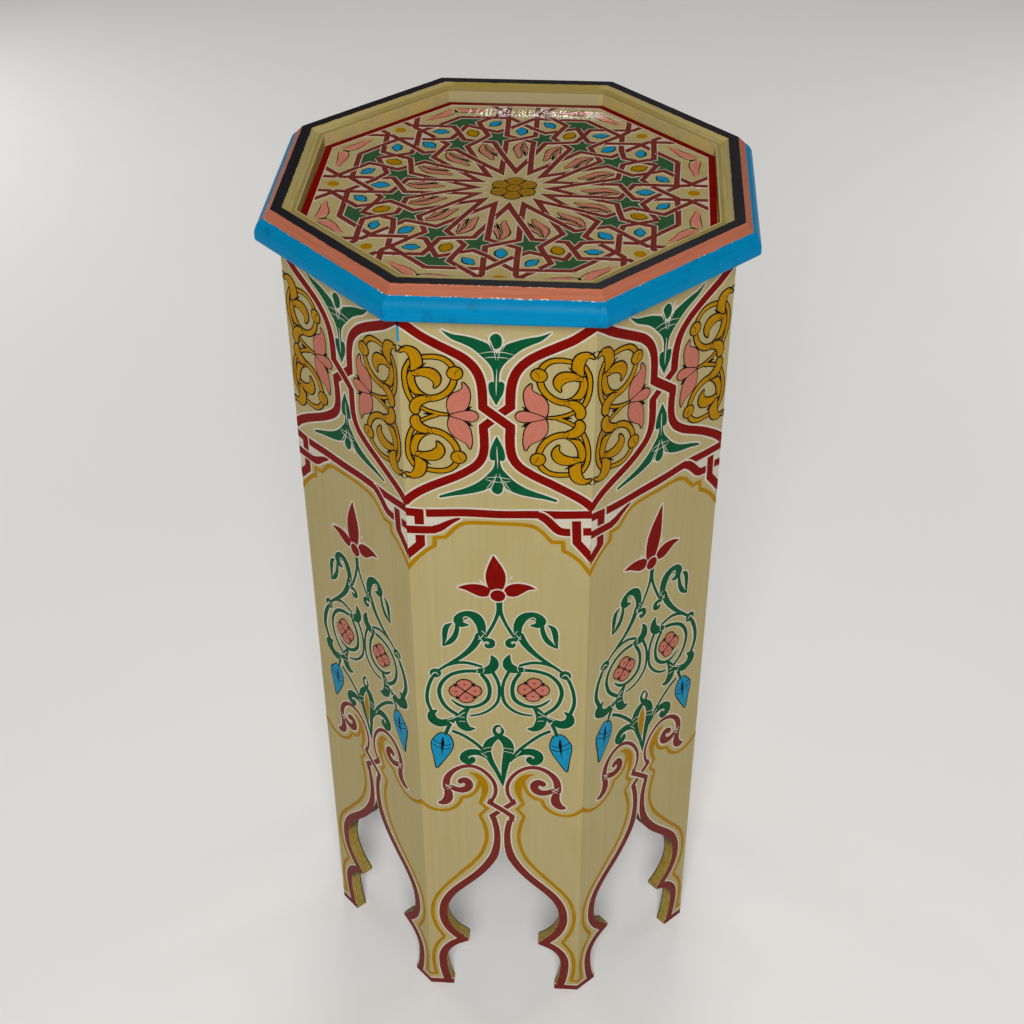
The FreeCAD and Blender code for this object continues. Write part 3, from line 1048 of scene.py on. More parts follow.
@dataclass(frozen=True)
class ArchEdge:
    """The right half of the sawn opening under a side, as the frame has it."""

    toe: Point = (44.5, 0.0)
    ankle: Point = (50.0, 35.0)
    spur_foot: Point = (32.1, 59.0)
    spur_head: Point = (32.1, 66.0)
    knee: Point = (47.9, 96.0)
    apex: Point = (0.0, 184.0)
    knee_pull: float = 37.0
    apex_pull: float = 52.0
    apex_lean: float = math.radians(15)

    def upright_arc(self, upright: Point, far: Point, samples: int = 7) -> Array:
        """Gives points on the arc that starts upright at one point and ends at the other.

        Its radius is (dx squared + dz squared) / 2 dx, with the centre level with the upright end.
        Args:
            upright: Where the arc is upright.
            far: Its other end.
            samples: How many points.
        Returns:
            One row per point: x and z.
        """
        dx, dz = far[0] - upright[0], far[1] - upright[1]
        radius = (dx * dx + dz * dz) / (2 * dx)
        turn = np.linspace(0, math.atan2(abs(dz), abs(radius - dx) * math.copysign(1, radius / dx)), samples)
        return np.column_stack([upright[0] + radius * (1 - np.cos(turn)),
                                upright[1] + math.copysign(1, dz) * abs(radius) * np.sin(turn)])

    def ogee(self, samples: int = 12) -> Array:
        """Gives points on the Bezier curve from the knee, upright, to the leaning apex.

        Args:
            samples: How many points.
        Returns:
            One row per point: x and z.
        """
        share = np.linspace(0, 1, samples)[:, None]
        start, end = np.array(self.knee), np.array(self.apex)
        rise = start + np.array([0, self.knee_pull])
        fall = end + self.apex_pull * np.array([math.sin(self.apex_lean), -math.cos(self.apex_lean)])
        rest = 1 - share
        return rest**3 * start + 3 * rest**2 * share * rise + 3 * rest * share**2 * fall + share**3 * end

    def beside(self, edge: Array, distance: float) -> list[Point]:
        """Gives the line in the wood beside a stretch of edge that goes up.

        Args:
            edge: The edge's points.
            distance: How far in the line lies.
        Returns:
            The line's points.
        """
        heading = np.gradient(edge, axis=0)
        heading /= np.linalg.norm(heading, axis=1)[:, None]
        line = edge + distance * np.column_stack([heading[:, 1], -heading[:, 0]])
        return [tuple(point) for point in line.tolist()]

    def foot(self) -> Array:
        """Gives the edge from the toe up to the underside of the spur."""
        rise = self.upright_arc(self.ankle, self.toe)[:0:-1]
        return np.vstack([rise, self.upright_arc(self.ankle, self.spur_foot)])

    def crown(self) -> Array:
        """Gives the edge from the top of the spur up to near the apex."""
        return np.vstack([self.upright_arc(self.knee, self.spur_head)[:0:-1], self.ogee()[:-1]])


@dataclass(frozen=True)
class SideOrnament:
    """The painted ornament of one side: frieze, knotted band, flower and vine, scrolls and arch border."""

    ochre_core: bool = False
    dripped: bool = False
    hand: Hand = Hand()
    band: float = 6.9
    knot: float = 7.0
    canopy: float = 3.3
    scroll: float = 4.8
    border: float = 7.2
    frieze_middle: float = 612.6
    edge: ArchEdge = ArchEdge()

    def marks(self) -> list[Stroke]:
        """Gives every stroke of the side, in the order the painter lays them.

        Returns:
            Its strokes.
        """
        made = self.frieze_bands() + both(self.medallion()) + both(self.lotus()) + self.trefoils()
        made += self.knot_band() + self.canopy_line() + self.flower() + both(self.vine()) + self.vine_ties()
        made += self.rosette(25, 362, 85) + self.rosette(-27, 361, 95) + both(self.blue_leaf())
        made += self.base_plant() + both(self.scrolls()) + self.scroll_crossing()
        made += both(self.ochre_line()) + both(self.arch_border())
        drip = pull(Paint.BLUE, (3.4, 2, 1.7, 2.2), (-64, 691), (-64.2, 682), (-64.4, 674), (-64.4, 668.6))
        return [*made, drip] if self.dripped else made

    def frieze_bands(self) -> list[Stroke]:
        """Draws the red bands that frame the corner medallions and cross in the middle of the side.

        Returns:
            Its strokes.
        """
        upper = pull(Paint.RED, self.band, (66.5, 687.4), (58.5, 681.3), (50, 675), (40, 669.4), (30, 663.7),
                     (21.3, 657.8), (15, 651), (11.6, 644), (10, 636.5), (9.5, 629), (9.4, 621.5))
        lower = pull(Paint.RED, self.band, (9.3, 604), (9, 595), (9.3, 586), (10.8, 579.3), (14.6, 573),
                     (21.2, 567.4), (29, 562.3), (38.5, 557.2), (48, 552), (57.5, 545.8), (62.5, 541.5),
                     (67, 536.4))
        under = rule(Paint.RED, self.band, (9.4, 626), (9.4, 620.6), (-9.3, 604.8), (-9.3, 599))
        over = rule(Paint.RED, self.band, (-9.4, 626), (-9.4, 620.6), (9.3, 604.8), (9.3, 599), level=4)
        return edged(both([upper, lower]) + [under, over], margin=1.3)

    def medallion(self) -> list[Stroke]:
        """Draws half of a golden arabesque that folds round the corner of the body.

        Returns:
            Its strokes.
        """
        gold = Paint.GOLD
        upper = [
            pull(gold, (3.4, 3.4, 3.2, 3), (27.5, 647), (30.2, 653.5), (35, 657.8), (41, 659.2),
                 (49, 658.6)),
            pull(gold, (2.4, 3, 3, 2.6), (57, 656), (60.6, 648), (61.2, 639), (59.8, 630), (56.6, 622),
                 level=2.6),
            pull(gold, (4.4, 4.6, 5, 5, 4.6, 4.2, 4, 3.8, 3.6), (55.4, 647.5), (57.2, 641.5), (55.4, 633.8),
                 (51, 628.3), (45, 626), (38.4, 627.5), (33, 631.5), (29.4, 637), (27.8, 643), level=3.2),
            pull(gold, (0.5, 4.2, 7.4, 8, 6.8, 4.6), (64, 661.2), (60, 663.7), (55.2, 661.6), (53, 655.8),
                 (53.6, 650), (55.6, 646.5), level=3.8),
            pull(gold, (3, 4.4, 6.8, 7.8, 6.8, 4, 0.4), (56.4, 645), (52.6, 646.2), (47.8, 647),
                 (43, 645.9), (40.1, 642.2), (39.8, 638.4), (41.6, 634.6), level=4.4),
            pull(gold, (4.2, 6.2, 7, 6.4, 4.2), (45.5, 625.2), (50, 624.8), (54, 621.8), (55.4, 617.4),
                 (53.6, 613.4), level=5),
            dab(gold, 27.4, 646.4, 4.9, level=5.6),
        ]
        joins = drawn(gold, [
            ((2, 2.6, 3.2), (58, 644.2), (55.4, 645.2), (52, 646.2)),
            ((2.6, 3.2, 3.8), (41.4, 626.2), (45.4, 625.5), (49.6, 624.8)),
        ], level=5.8)
        ink = drawn(Paint.BLACK, [
            ((0.4, 1.6, 0.4), (46, 654.5), (49.6, 651.5), (53, 649.5)),
            ((0.4, 1.7, 0.4), (48, 629.4), (52, 628.6), (56, 629.6)),
            (0.7, (44, 628), (44.6, 625.5), (44.4, 623.2)),
            (0.7, (47, 627.8), (47.4, 625.3), (47.2, 622.9)),
            ((0.6, 0.8, 0.6), (51, 645.2), (53.6, 646), (55.8, 648.2)),
            (0.7, (51.8, 643.2), (54.4, 643.6), (56.8, 645.4)),
            ((0.7, 0.9, 0.5), (24.2, 649.4), (26.8, 647.2), (27.6, 643.6)),
            ((0.6, 1.2, 0.6), (59.6, 664.6), (62, 664.9), (64.6, 666.6)),
        ], level=6.5)
        twig = drawn(gold, [
            ((1.2, 2.6, 2.4, 2.2), (33, 613.2), (40, 613.6), (46.5, 615.8), (53, 619.4)),
            ((2.6, 2.4, 2.2), (40, 612.8), (46.5, 610.2), (53, 606.6)),
        ])
        bud = pull(Paint.BLACK, (0.4, 1.9, 0.4), (42.5, 613.6), (46.5, 613.4), (50, 613.2), level=6.5)
        scrolls = edged(upper + flipped(upper, self.frieze_middle) + twig, Paint.BLACK, 0.9, 0.3)
        for strokes in (joins, ink):
            scrolls += strokes + flipped(strokes, self.frieze_middle)
        return [*scrolls, bud]

    def lotus(self) -> list[Stroke]:
        """Draws the pink flower that opens from the medallion towards the crossing.

        Returns:
            Its strokes.
        """
        swell = (1.2, 9, 13.4, 13.6, 9.4, 4.8, 0.5)
        petals = [
            *drawn(Paint.PINK, [
                (swell, (31.8, 613.4), (29.8, 617.2), (27.4, 621.4), (24.8, 625.8), (22.2, 630),
                 (21, 634.4), (22.6, 639.4)),
                (swell, (31.8, 612.4), (29.8, 608.6), (27.4, 604.4), (24.8, 600), (22, 595.6), (20, 591.4),
                 (19.2, 586)),
            ]),
            pull(Paint.PINK, (0.8, 5, 8, 8.4, 5), (32, 612.9), (26.5, 613.2), (21, 613.3), (16.8, 613.2),
                 (12.8, 613), level=3.2),
        ]
        ink = drawn(Paint.BLACK, [
            ((0.4, 2, 0.4), (16.8, 621), (19.6, 619.2), (22.2, 617.4)),
            ((0.4, 2, 0.4), (16.6, 605), (19.4, 606.6), (22, 608.6)),
            ((0.3, 1, 0.3), (17.8, 618.6), (20, 618.2), (22.4, 617)),
            ((0.3, 1, 0.3), (17.6, 607.6), (20, 607.8), (22.2, 608.8)),
        ], level=5)
        return edged(petals, Paint.BLACK, 0.75, 0.5) + ink

    def trefoils(self) -> list[Stroke]:
        """Draws the green three-lobed leaves over and under the crossing, with their white veins.

        Returns:
            Its strokes.
        """
        green, white = Paint.GREEN, Paint.WHITE
        wings = both(drawn(green, [
            ((1.6, 2.4, 4, 8.2, 10.2, 8, 6.2, 4, 0.5), (0.8, 634), (0.7, 642), (0.9, 650), (2.6, 657.4),
             (7.2, 664), (14, 668.8), (21, 672), (28, 674.6), (35.5, 679.8)),
            ((4.4, 5.4, 5.4, 3.4, 0.5), (3, 641), (2.9, 637), (2.1, 632), (1, 627.2), (0, 622)),
            ((1.8, 2.6, 4.6, 8.8, 9, 7.4, 5.4, 3.8, 2.2), (0.6, 586), (0.6, 578), (0.7, 571), (2.6, 564),
             (8, 557.4), (15.5, 552.4), (24, 549), (32, 546.8), (41.5, 543.8)),
            ((4.2, 5, 5.2, 3.6, 0.5), (3.2, 576.6), (3.1, 580.6), (2.2, 585.8), (1.1, 591), (0, 597)),
        ]))
        buds = drawn(green, [
            ((5, 8, 7.6, 4), (-0.8, 677.4), (-0.8, 673.4), (-0.8, 669), (-0.8, 665.6)),
            ((5, 8, 8, 4), (-0.9, 548.4), (-0.9, 552.4), (-0.9, 557), (-0.9, 561)),
        ])
        veins = both(drawn(white, [
            ((0.4, 1, 1, 0.5), (7, 677.4), (4.4, 671.4), (2.2, 665.4), (0.6, 657.2)),
            ((0.4, 0.9, 0.4), (8.8, 673.6), (5.6, 669.6), (3.2, 664.6)),
            ((0.8, 0.8, 0.4), (0, 663.6), (5, 663.4), (12.6, 661.4)),
            ((0.8, 0.8, 0.4), (0, 659.6), (4.6, 659.4), (8.4, 658.6)),
            ((0.4, 1, 1, 0.5), (7, 548.4), (4.6, 554.6), (2.4, 560.6), (0.9, 566.4)),
            ((0.4, 0.9, 0.4), (8.8, 551.8), (5.8, 556.4), (3.6, 561)),
            ((0.8, 0.8, 0.4), (0, 559), (5, 559.4), (9, 560.8)),
            ((0.8, 0.8, 0.4), (0, 563.4), (4.6, 562.6), (9, 562)),
        ], level=4))
        stalks = drawn(white, [
            ((0.4, 1, 1, 0.4), (0.1, 651), (0, 643), (-0.1, 636), (0, 630)),
            ((0.4, 1, 1, 0.4), (0, 570), (0.1, 577), (-0.1, 584), (0, 589)),
        ], level=4)
        return edged(wings + buds) + veins + stalks

    def knot_band(self) -> list[Stroke]:
        """Draws the red band under the frieze, knotted at both corners, on its white filling.

        Returns:
            Its strokes.
        """
        red, wide = Paint.RED, self.knot
        filling = [
            rule(Paint.WHITE, 9, (-67, 522.4), (-35, 522.6), level=0.6),
            rule(Paint.WHITE, 11, (37, 524.6), (67, 525), level=0.6),
            rule(Paint.WHITE, 12, (67, 504.6), (57.4, 510.6), level=0.6),
            rule(Paint.WHITE, 12, (-67, 503), (-57.6, 507), level=0.6),
        ]
        left = [
            rule(red, wide, (-67, 530), (-55.8, 529.4), (-55.8, 519.4)),
            rule(red, wide, (-55.8, 512), (-55.8, 502), (-67, 490.4)),
            rule(red, wide, (-67, 514.6), (-44, 514.9), level=4),
            pull(red, (wide, wide, 5, 2.4), (-48, 514.8), (-42, 516.4), (-35, 521), (-26.5, 525.8),
                 level=4),
        ]
        right = [
            rule(red, wide, (27, 531.8), (67, 532.6)),
            rule(red, wide, (52, 517.2), (67, 517.6)),
            pull(red, wide, (24, 531.2), (29.6, 530.4), (34.2, 527.2), (38.4, 522.6), (42.6, 518.4),
                 (48, 517), (54, 517.2), level=4),
            rule(red, wide * 0.95, (54.6, 526.8), (55.2, 508), (67, 492.4), level=5),
        ]
        main = rule(red, wide, (-50.6, 529.6), (-27, 530.2), (0, 531), (28, 531.8), level=5.5)
        return filling + edged([*left, *right, main], margin=1.3)

    def canopy_line(self) -> list[Stroke]:
        """Draws the ochre line that hangs under the knotted band and dips at the corners.

        Returns:
            Its strokes.
        """
        middle = pull(Paint.OCHRE, self.canopy, (-38, 507.6), (-34.6, 511.4), (-30, 516.8), (-24, 520.6),
                      (-12, 522.2), (0, 522.5), (12, 522.3), (24, 520.8), (30, 517), (34.6, 511.6),
                      (38, 507.8))
        step = rule(Paint.OCHRE, self.canopy, (36.6, 508), (45.4, 507.8), (46, 499.4))
        dip = pull(Paint.OCHRE, self.canopy, (45.4, 500.4), (51, 496.8), (58, 490), (67, 477.4))
        return [middle, *both([step, dip])]

    def flower(self) -> list[Stroke]:
        """Draws the red three-petalled flower at the top of the vine.

        Returns:
            Its strokes.
        """
        red, tall, sway = Paint.RED, self.hand.tall, self.hand.sway
        petals = drawn(red, [
            ((8.5, 13, 14.2, 11, 5.6, 0.6), (-2.5, 459), (-2.3 + 0.06 * sway, 466 + 0.2 * tall),
             (-2.5 + 0.22 * sway, 474 + 0.45 * tall), (-3 + 0.45 * sway, 481 + 0.65 * tall),
             (-3.6 + 0.74 * sway, 487.5 + 0.85 * tall), (-4 + sway, 493 + tall)),
            ((6, 11.4, 10.6, 6, 0.6), (4, 457.4), (9, 460.4), (14.2, 463), (20, 464.6), (26.6, 463.8)),
            ((6, 10.6, 9.8, 6, 0.6), (-6, 456.8), (-11, 459), (-17, 461.5), (-23, 463), (-30, 463)),
        ])
        sprays = drawn(Paint.WHITE, [
            ((0.4, 1.6, 0.4), (7, 470.5), (8.4, 472.6), (9.4, 475)),
            ((0.4, 1.8, 0.4), (-9.6, 464.4), (-12, 467.4), (-14.2, 470.4)),
        ])
        return edged(petals, margin=1.25) + edged([dab(red, -1, 455.4, 5.5, level=4)], margin=1.1) + sprays

    def vine(self) -> list[Stroke]:
        """Draws the right half of the green vine that hangs from the flower and rings the rosette.

        Returns:
            Its strokes.
        """
        green = Paint.GREEN
        return edged(fuller([
            *drawn(green, [
                ((4.6, 3.2, 2.6, 2.6, 2.6), (0, 451), (0.9, 440), (4.2, 430), (8.4, 421), (11.4, 415.6)),
                ((4, 5.8, 7.2, 8, 7.6, 7.6, 7.2, 5.8, 0.8), (14.6, 413), (13.8, 420), (14.4, 428),
                 (17.6, 434.4), (22.8, 437), (27.8, 435.8), (30.8, 432), (28.6, 428), (22.6, 427.2)),
                ((2.2, 3.2, 4.2, 4.2, 0.6), (31.8, 431), (31.8, 424), (33.8, 416), (37.4, 410.4),
                 (43, 405.6)),
                ((0.6, 4, 4.2, 2.8, 0.6), (35.2, 429), (39.4, 425.4), (41, 419.4), (41.6, 412),
                 (43, 405.6)),
                ((5, 5.4, 4.8, 3.8, 3, 2.6, 2.2), (15.4, 420), (17.6, 412.4), (22, 404.4), (28.6, 396.6),
                 (36.4, 389.6), (42, 385), (46.6, 380.8)),
                ((3.6, 4.4, 4.8, 4.4, 3.4, 2), (15, 412.6), (11.2, 413), (6.8, 411.6), (6.6, 408),
                 (10, 406.8), (11.8, 409.6)),
                ((2.2, 2.8, 2.8, 2.4), (43.4, 384.4), (35, 388.8), (26, 390), (14, 386.6)),
                (3.2, (17, 382.2), (28, 381.2), (37.4, 377), (44, 369), (46.6, 360), (45, 350), (41, 342.6),
                 (33, 335.6)),
                ((3.2, 3.2, 3.2, 3.4, 3.4, 3.2, 2.8, 2.2, 0.8), (15.5, 380), (10.5, 371), (8.8, 361.6),
                 (10.5, 352.6), (16, 347), (22.5, 344.6), (29, 345), (34.5, 348.4), (37.8, 352)),
                ((3, 2.6, 2.6, 2.6, 2.4, 1.8), (6.8, 382), (2.4, 371), (1.2, 360), (3, 349), (9, 341),
                 (16, 336.8), (24, 335)),
                ((0.6, 6, 8, 8, 6, 3.2), (7.6, 398.6), (5.4, 393), (5.8, 387.2), (9.6, 383.4),
                 (14.6, 382.6), (20, 382.4)),
                (2.8, (49.4, 377.6), (53.2, 369), (55.8, 358.5), (56.2, 348.5), (53.2, 337)),
            ]),
            dab(green, 49, 378, 4.6),
            *drawn(green, [
                ((1, 5.8, 8, 8.2, 6.4, 4.4, 3.2), (48.6, 339.6), (53, 335.4), (52.4, 329.2), (47.4, 326),
                 (41.4, 327.6), (36, 331.4), (31, 336)),
                ((2.6, 6, 8.4, 8.6, 6, 0.8), (24.6, 344), (28.6, 338), (30.6, 331), (29, 324.4),
                 (25, 320.8), (19.4, 321)),
                (3, (33, 334.6), (37.4, 328.4), (41, 321), (43.6, 313)),
                (3, (38.4, 318.8), (29.5, 313.4), (20.4, 305), (13.4, 296.6), (9.4, 289.6), (6.6, 284)),
            ]),
        ], 0.4), margin=0.85)

    def vine_ties(self) -> list[Stroke]:
        """Draws the white cross strokes and curls on the vine's joints.

        Returns:
            Its strokes.
        """
        white = Paint.WHITE
        return both(drawn(white, [
            ((0.5, 1.1, 1.2, 1, 0.4), (19.4, 430.8), (22, 433.6), (25.4, 435.2), (26.8, 433.6),
             (26, 431.6)),
            (0.9, (12.2, 418.6), (14.4, 415.4), (16.8, 413.2)),
            (0.9, (13, 411.2), (15, 414.2), (16.2, 417.2)),
            (0.9, (10.4, 418.2), (12.4, 420.2), (13.8, 422)),
            ((0.5, 1.2, 1, 0.5), (8.2, 410), (9.4, 411), (12.4, 410.8), (15.4, 409)),
            (0.9, (13.4, 386.8), (13.2, 383.6), (14, 380.4)),
            (0.9, (18.4, 384.6), (18.2, 382.4), (18.8, 379.8)),
            ((0.5, 1.2, 1.2, 0.5), (46.4, 376), (48.8, 378.6), (51, 377.6), (52.2, 373.8)),
            (1, (27.6, 339.2), (31, 336), (36.4, 332.2), (41.4, 329.6)),
            (1, (34.8, 335.4), (36.4, 333), (37.6, 331)),
            (0.8, (27.2, 328.8), (30, 329.2), (32.8, 329)),
            (0.8, (27.6, 333.4), (30.2, 333.6), (32.6, 334.2)),
            ((0.4, 1.6, 0.4), (35.4, 323), (37.6, 326), (39.8, 328.4)),
        ], level=4))

    def rosette(self, x: float, z: float, turn: float) -> list[Stroke]:
        """Draws a pink four-lobed flower with a black cross.

        Args:
            x: Its middle along the side.
            z: Its height.
            turn: The first lobe's direction, in degrees.
        Returns:
            Its strokes.
        """
        lobes = [dab(Paint.PINK, x, z, 4, level=2.2)]
        ink = []
        for quarter in range(4):
            lobe = math.radians(turn + 90 * quarter)
            arm = lobe + math.pi / 4
            ahead = np.array([math.cos(arm), math.sin(arm)])
            beside = np.array([-math.sin(arm), math.cos(arm)])
            spots = [tuple(np.array([x, z]) + ahead * reach) for reach in (0, 4, 8, 11.2)]
            barb = [tuple(np.array([x, z]) + ahead * reach + beside * off) for reach, off in
                    ((7.4, -2), (9.4, 0), (7.4, 2))]
            lobes.append(dab(Paint.PINK, x + 5.7 * math.cos(lobe), z + 5.7 * math.sin(lobe), 6, level=2.2))
            ink += [pull(Paint.BLACK, (1.7, 1.2, 1.4, 1.7), *spots, level=4),
                    pull(Paint.BLACK, (0.6, 1.6, 0.6), *barb, level=4),
                    dab(Paint.BLACK, x + 6.8 * math.cos(lobe), z + 6.8 * math.sin(lobe), 0.8, level=4)]
        return edged(lobes, Paint.BLACK, 0.9, 0.4) + ink

    def blue_leaf(self) -> list[Stroke]:
        """Draws the blue leaf at the end of the vine, outlined and veined in black.

        Returns:
            Its strokes.
        """
        leaf = pull(Paint.BLUE, (5.5, 13.6, 16.8, 14.6, 8.4, 0.6), (44.2, 315.6), (45.2, 309),
                    (46.2, 303.4), (47.4, 296), (49.2, 287), (51.6, 276))
        veins = drawn(Paint.BLACK, [
            ((0.7, 2.6, 2.4, 1.1, 0.4), (45.6, 311), (45.8, 305.6), (46.2, 300.6), (46.8, 295),
             (47.8, 289.6)),
            (0.9, (38.8, 303.8), (42, 302.2), (46.4, 302.6), (50.6, 305.4), (53.4, 308)),
            (0.9, (39.4, 299.6), (43, 297.8), (47, 298.2), (51, 300.6), (53.8, 302.6)),
        ], level=4)
        return edged([leaf], Paint.BLACK, 0.8, 0.5) + veins

    def base_plant(self) -> list[Stroke]:
        """Draws the green plant between the scrolls, with an ochre core on every other side.

        Returns:
            Its strokes.
        """
        green, white = Paint.GREEN, Paint.WHITE
        leaves = drawn(green, [
            ((0.6, 3.2, 4.6, 6, 7.2, 8, 7.4, 5.6, 3.4, 2.8, 2.4, 1.2), (1.2, 255.6), (2, 266), (2.8, 275),
             (4, 284), (5.4, 292), (6.2, 300), (4, 307.6), (0, 312), (-4, 316), (-4.8, 320.4),
             (-2.2, 324.2), (1, 322.6)),
            ((0.6, 3, 3.6, 4.4, 5.4, 7, 7, 5.2, 3, 2.6, 1.8), (1, 256.6), (-0.8, 266), (-3.2, 274),
             (-6.4, 282), (-9, 290), (-10.4, 298), (-8.4, 305.4), (-4.6, 310), (-0.6, 313.6), (1.6, 318),
             (0.6, 322.4)),
            ((2.8, 5, 6.8, 7.4, 7.4, 7.2, 6.6, 5.6, 3.4), (7, 286), (13, 292.8), (18.6, 295.6),
             (24.4, 295.2), (28.8, 291.8), (28.8, 287), (25, 284.4), (21.8, 286.8), (23.4, 290.2)),
            ((2.8, 4.8, 6.4, 7.2, 7.2, 7.2, 6.6, 5.6, 3.4), (-7, 285), (-13, 291.4), (-18.6, 294.2),
             (-24.6, 294), (-29, 290.6), (-29.2, 286), (-25.6, 283.6), (-22.6, 285.8), (-24, 289)),
        ])
        veins = drawn(white, [
            (0.8, (2.4, 296.4), (6, 295.4), (10.6, 293.6)),
            (0.8, (2.4, 300), (6, 299.4), (10, 298.6)),
            (0.8, (-14, 298), (-10, 299.8), (-6.6, 300.4)),
            (0.8, (-13.4, 293.6), (-10, 295.4), (-6.8, 296)),
            ((0.4, 1.2, 0.4), (-2.6, 316.6), (-2.2, 319.6), (-1, 321.4)),
            ((0.5, 1.2, 1, 0.4), (14, 290.2), (19, 291), (23.4, 291.4), (24, 288.6)),
            ((0.5, 1.2, 1, 0.4), (-14, 289), (-20, 289.6), (-25.4, 289.2), (-26, 286.8)),
            (0.9, (11.2, 290.4), (13.4, 293.8), (15.4, 296.8)),
            (0.9, (-10.2, 288.4), (-12.8, 291.4), (-15.4, 294)),
        ], level=4)
        core = pull(Paint.OCHRE, (0.6, 5, 7, 5, 0.6), (-1.4, 276), (-2.4, 285), (-2.8, 293), (-2.6, 300),
                    (-2, 307))
        return edged(fuller(leaves, 0.3), margin=0.85) + veins + ([core] if self.ochre_core else [])

    def scrolls(self) -> list[Stroke]:
        """Draws the right maroon scroll that the arch border grows into.

        Returns:
            Its strokes.
        """
        maroon, white = Paint.MAROON, Paint.WHITE
        strokes = edged(drawn(maroon, [
            ((3.4, 3.4, 3.4, 3.4, 3.6, 3.8, 4, 4.2, 4.6, 5.6, 6, 5.6), (8.6, 238.6), (5.4, 246), (4.6, 254),
             (6.2, 262), (11, 270.4), (17, 276), (23.6, 278.5), (31, 277.8), (38, 273.6), (43, 266.6),
             (44.8, 258.6), (44.6, 250)),
            ((5.4, 7.2, 7.8, 6.4, 2.6), (44.4, 252), (43.2, 244.6), (44.4, 238.8), (47.6, 235.2),
             (52, 234.6)),
            ((4.6, 6, 6.9, 7.2, 7, 6.6, 5.6, 3.8), (43, 255.4), (37, 251.5), (31.6, 251), (27.2, 254),
             (26.4, 259), (29.4, 262.4), (33.2, 260.8), (33.2, 257.8)),
        ]))
        return strokes + drawn(white, [
            (0.9, (40.8, 257.8), (43, 255.4), (45.8, 253.6)),
            (0.9, (39.8, 255.2), (42, 252.8), (45, 251)),
            (0.9, (41.4, 252.8), (43.4, 255), (46, 257.4)),
        ], level=4)

    def scroll_crossing(self) -> list[Stroke]:
        """Draws the two bands above the arch as they cross.

        Returns:
            Its strokes.
        """
        under = rule(Paint.MAROON, self.scroll, (8.2, 241), (9.4, 237.4), (-8.4, 221.6), (-7, 216))
        over = rule(Paint.MAROON, self.scroll, (-8.2, 241), (-9.8, 237), (7.8, 221.8), (7, 216), level=4)
        return edged([under, over])

    def ochre_line(self) -> list[Stroke]:
        """Draws the ochre line that follows the scrolls and the arch on the right.

        Returns:
            Its strokes.
        """
        ochre, line = Paint.OCHRE, self.canopy - 0.1
        return [
            pull(ochre, (1, 4.6, 6.6, 6.2, 4.6, 3.2), (26, 271), (20, 268.4), (15.4, 262.4), (13.4, 255),
                 (14, 247), (17, 238)),
            rule(ochre, 2.9, (16.4, 240), (17.4, 236.4), (12.2, 230), (18, 222.2), (16.4, 215.6)),
            *drawn(ochre, [
                (line, (17.2, 264), (18.6, 255.8), (21.6, 248.8), (27, 244), (33.2, 242.2)),
                (line, (32.4, 243), (34.6, 236), (39, 230), (45.6, 225.9), (52.6, 225.5), (58.6, 227.8),
                 (64, 233), (67, 237.6)),
                (line, (17.2, 219), (15, 212), (13.4, 202.5), (13.3, 192.5), (15.4, 182), (19, 172),
                 (24.8, 162), (32, 152.5), (41, 141), (49.6, 130), (56, 119.5), (59.5, 109), (60.6, 98),
                 (59.9, 88), (57, 77), (51, 64.4)),
                (line, (51, 65.2), (55.8, 58), (59.4, 50), (61.4, 40), (61.6, 30), (60.8, 20), (59.6, 12)),
            ]),
            rule(ochre, line, (58.6, 12.8), (67, 12.2)),
        ]

    def arch_border(self) -> list[Stroke]:
        """Draws the maroon border along the right half of the sawn arch, with a white line on its wood side.

        Returns:
            Its strokes.
        """
        maroon, wide, white, sole = Paint.MAROON, self.border, 1.1, 6.2
        tail = ((4.9, 184), (4.2, 192), (4.1, 200), (4.8, 208), (6, 215), (7.4, 221.8))
        crown, foot = self.edge.crown(), self.edge.foot()
        made = []
        for paint, extra, level in ((Paint.WHITE, white, 1.0), (maroon, 0.0, 2.0)):
            width = wide + extra
            up = self.edge.beside(crown, width / 2)
            widths = (width,) * len(up) + tuple(w + 2 * extra for w in (6.4, 5.8, 5.4, 5.2, 5, 4.8))
            made += [pull(paint, widths, *up, *tail, level=level),
                     pull(paint, width, *self.edge.beside(foot, width / 2), level=level),
                     rule(paint, sole + 2 * extra, (44.7, sole / 2), (67, sole / 2), level=level)]
        made.append(pull(maroon, sole, (30.4, 62.5), (41, 62.6)))
        return [replace(stroke, steady=True) for stroke in made]


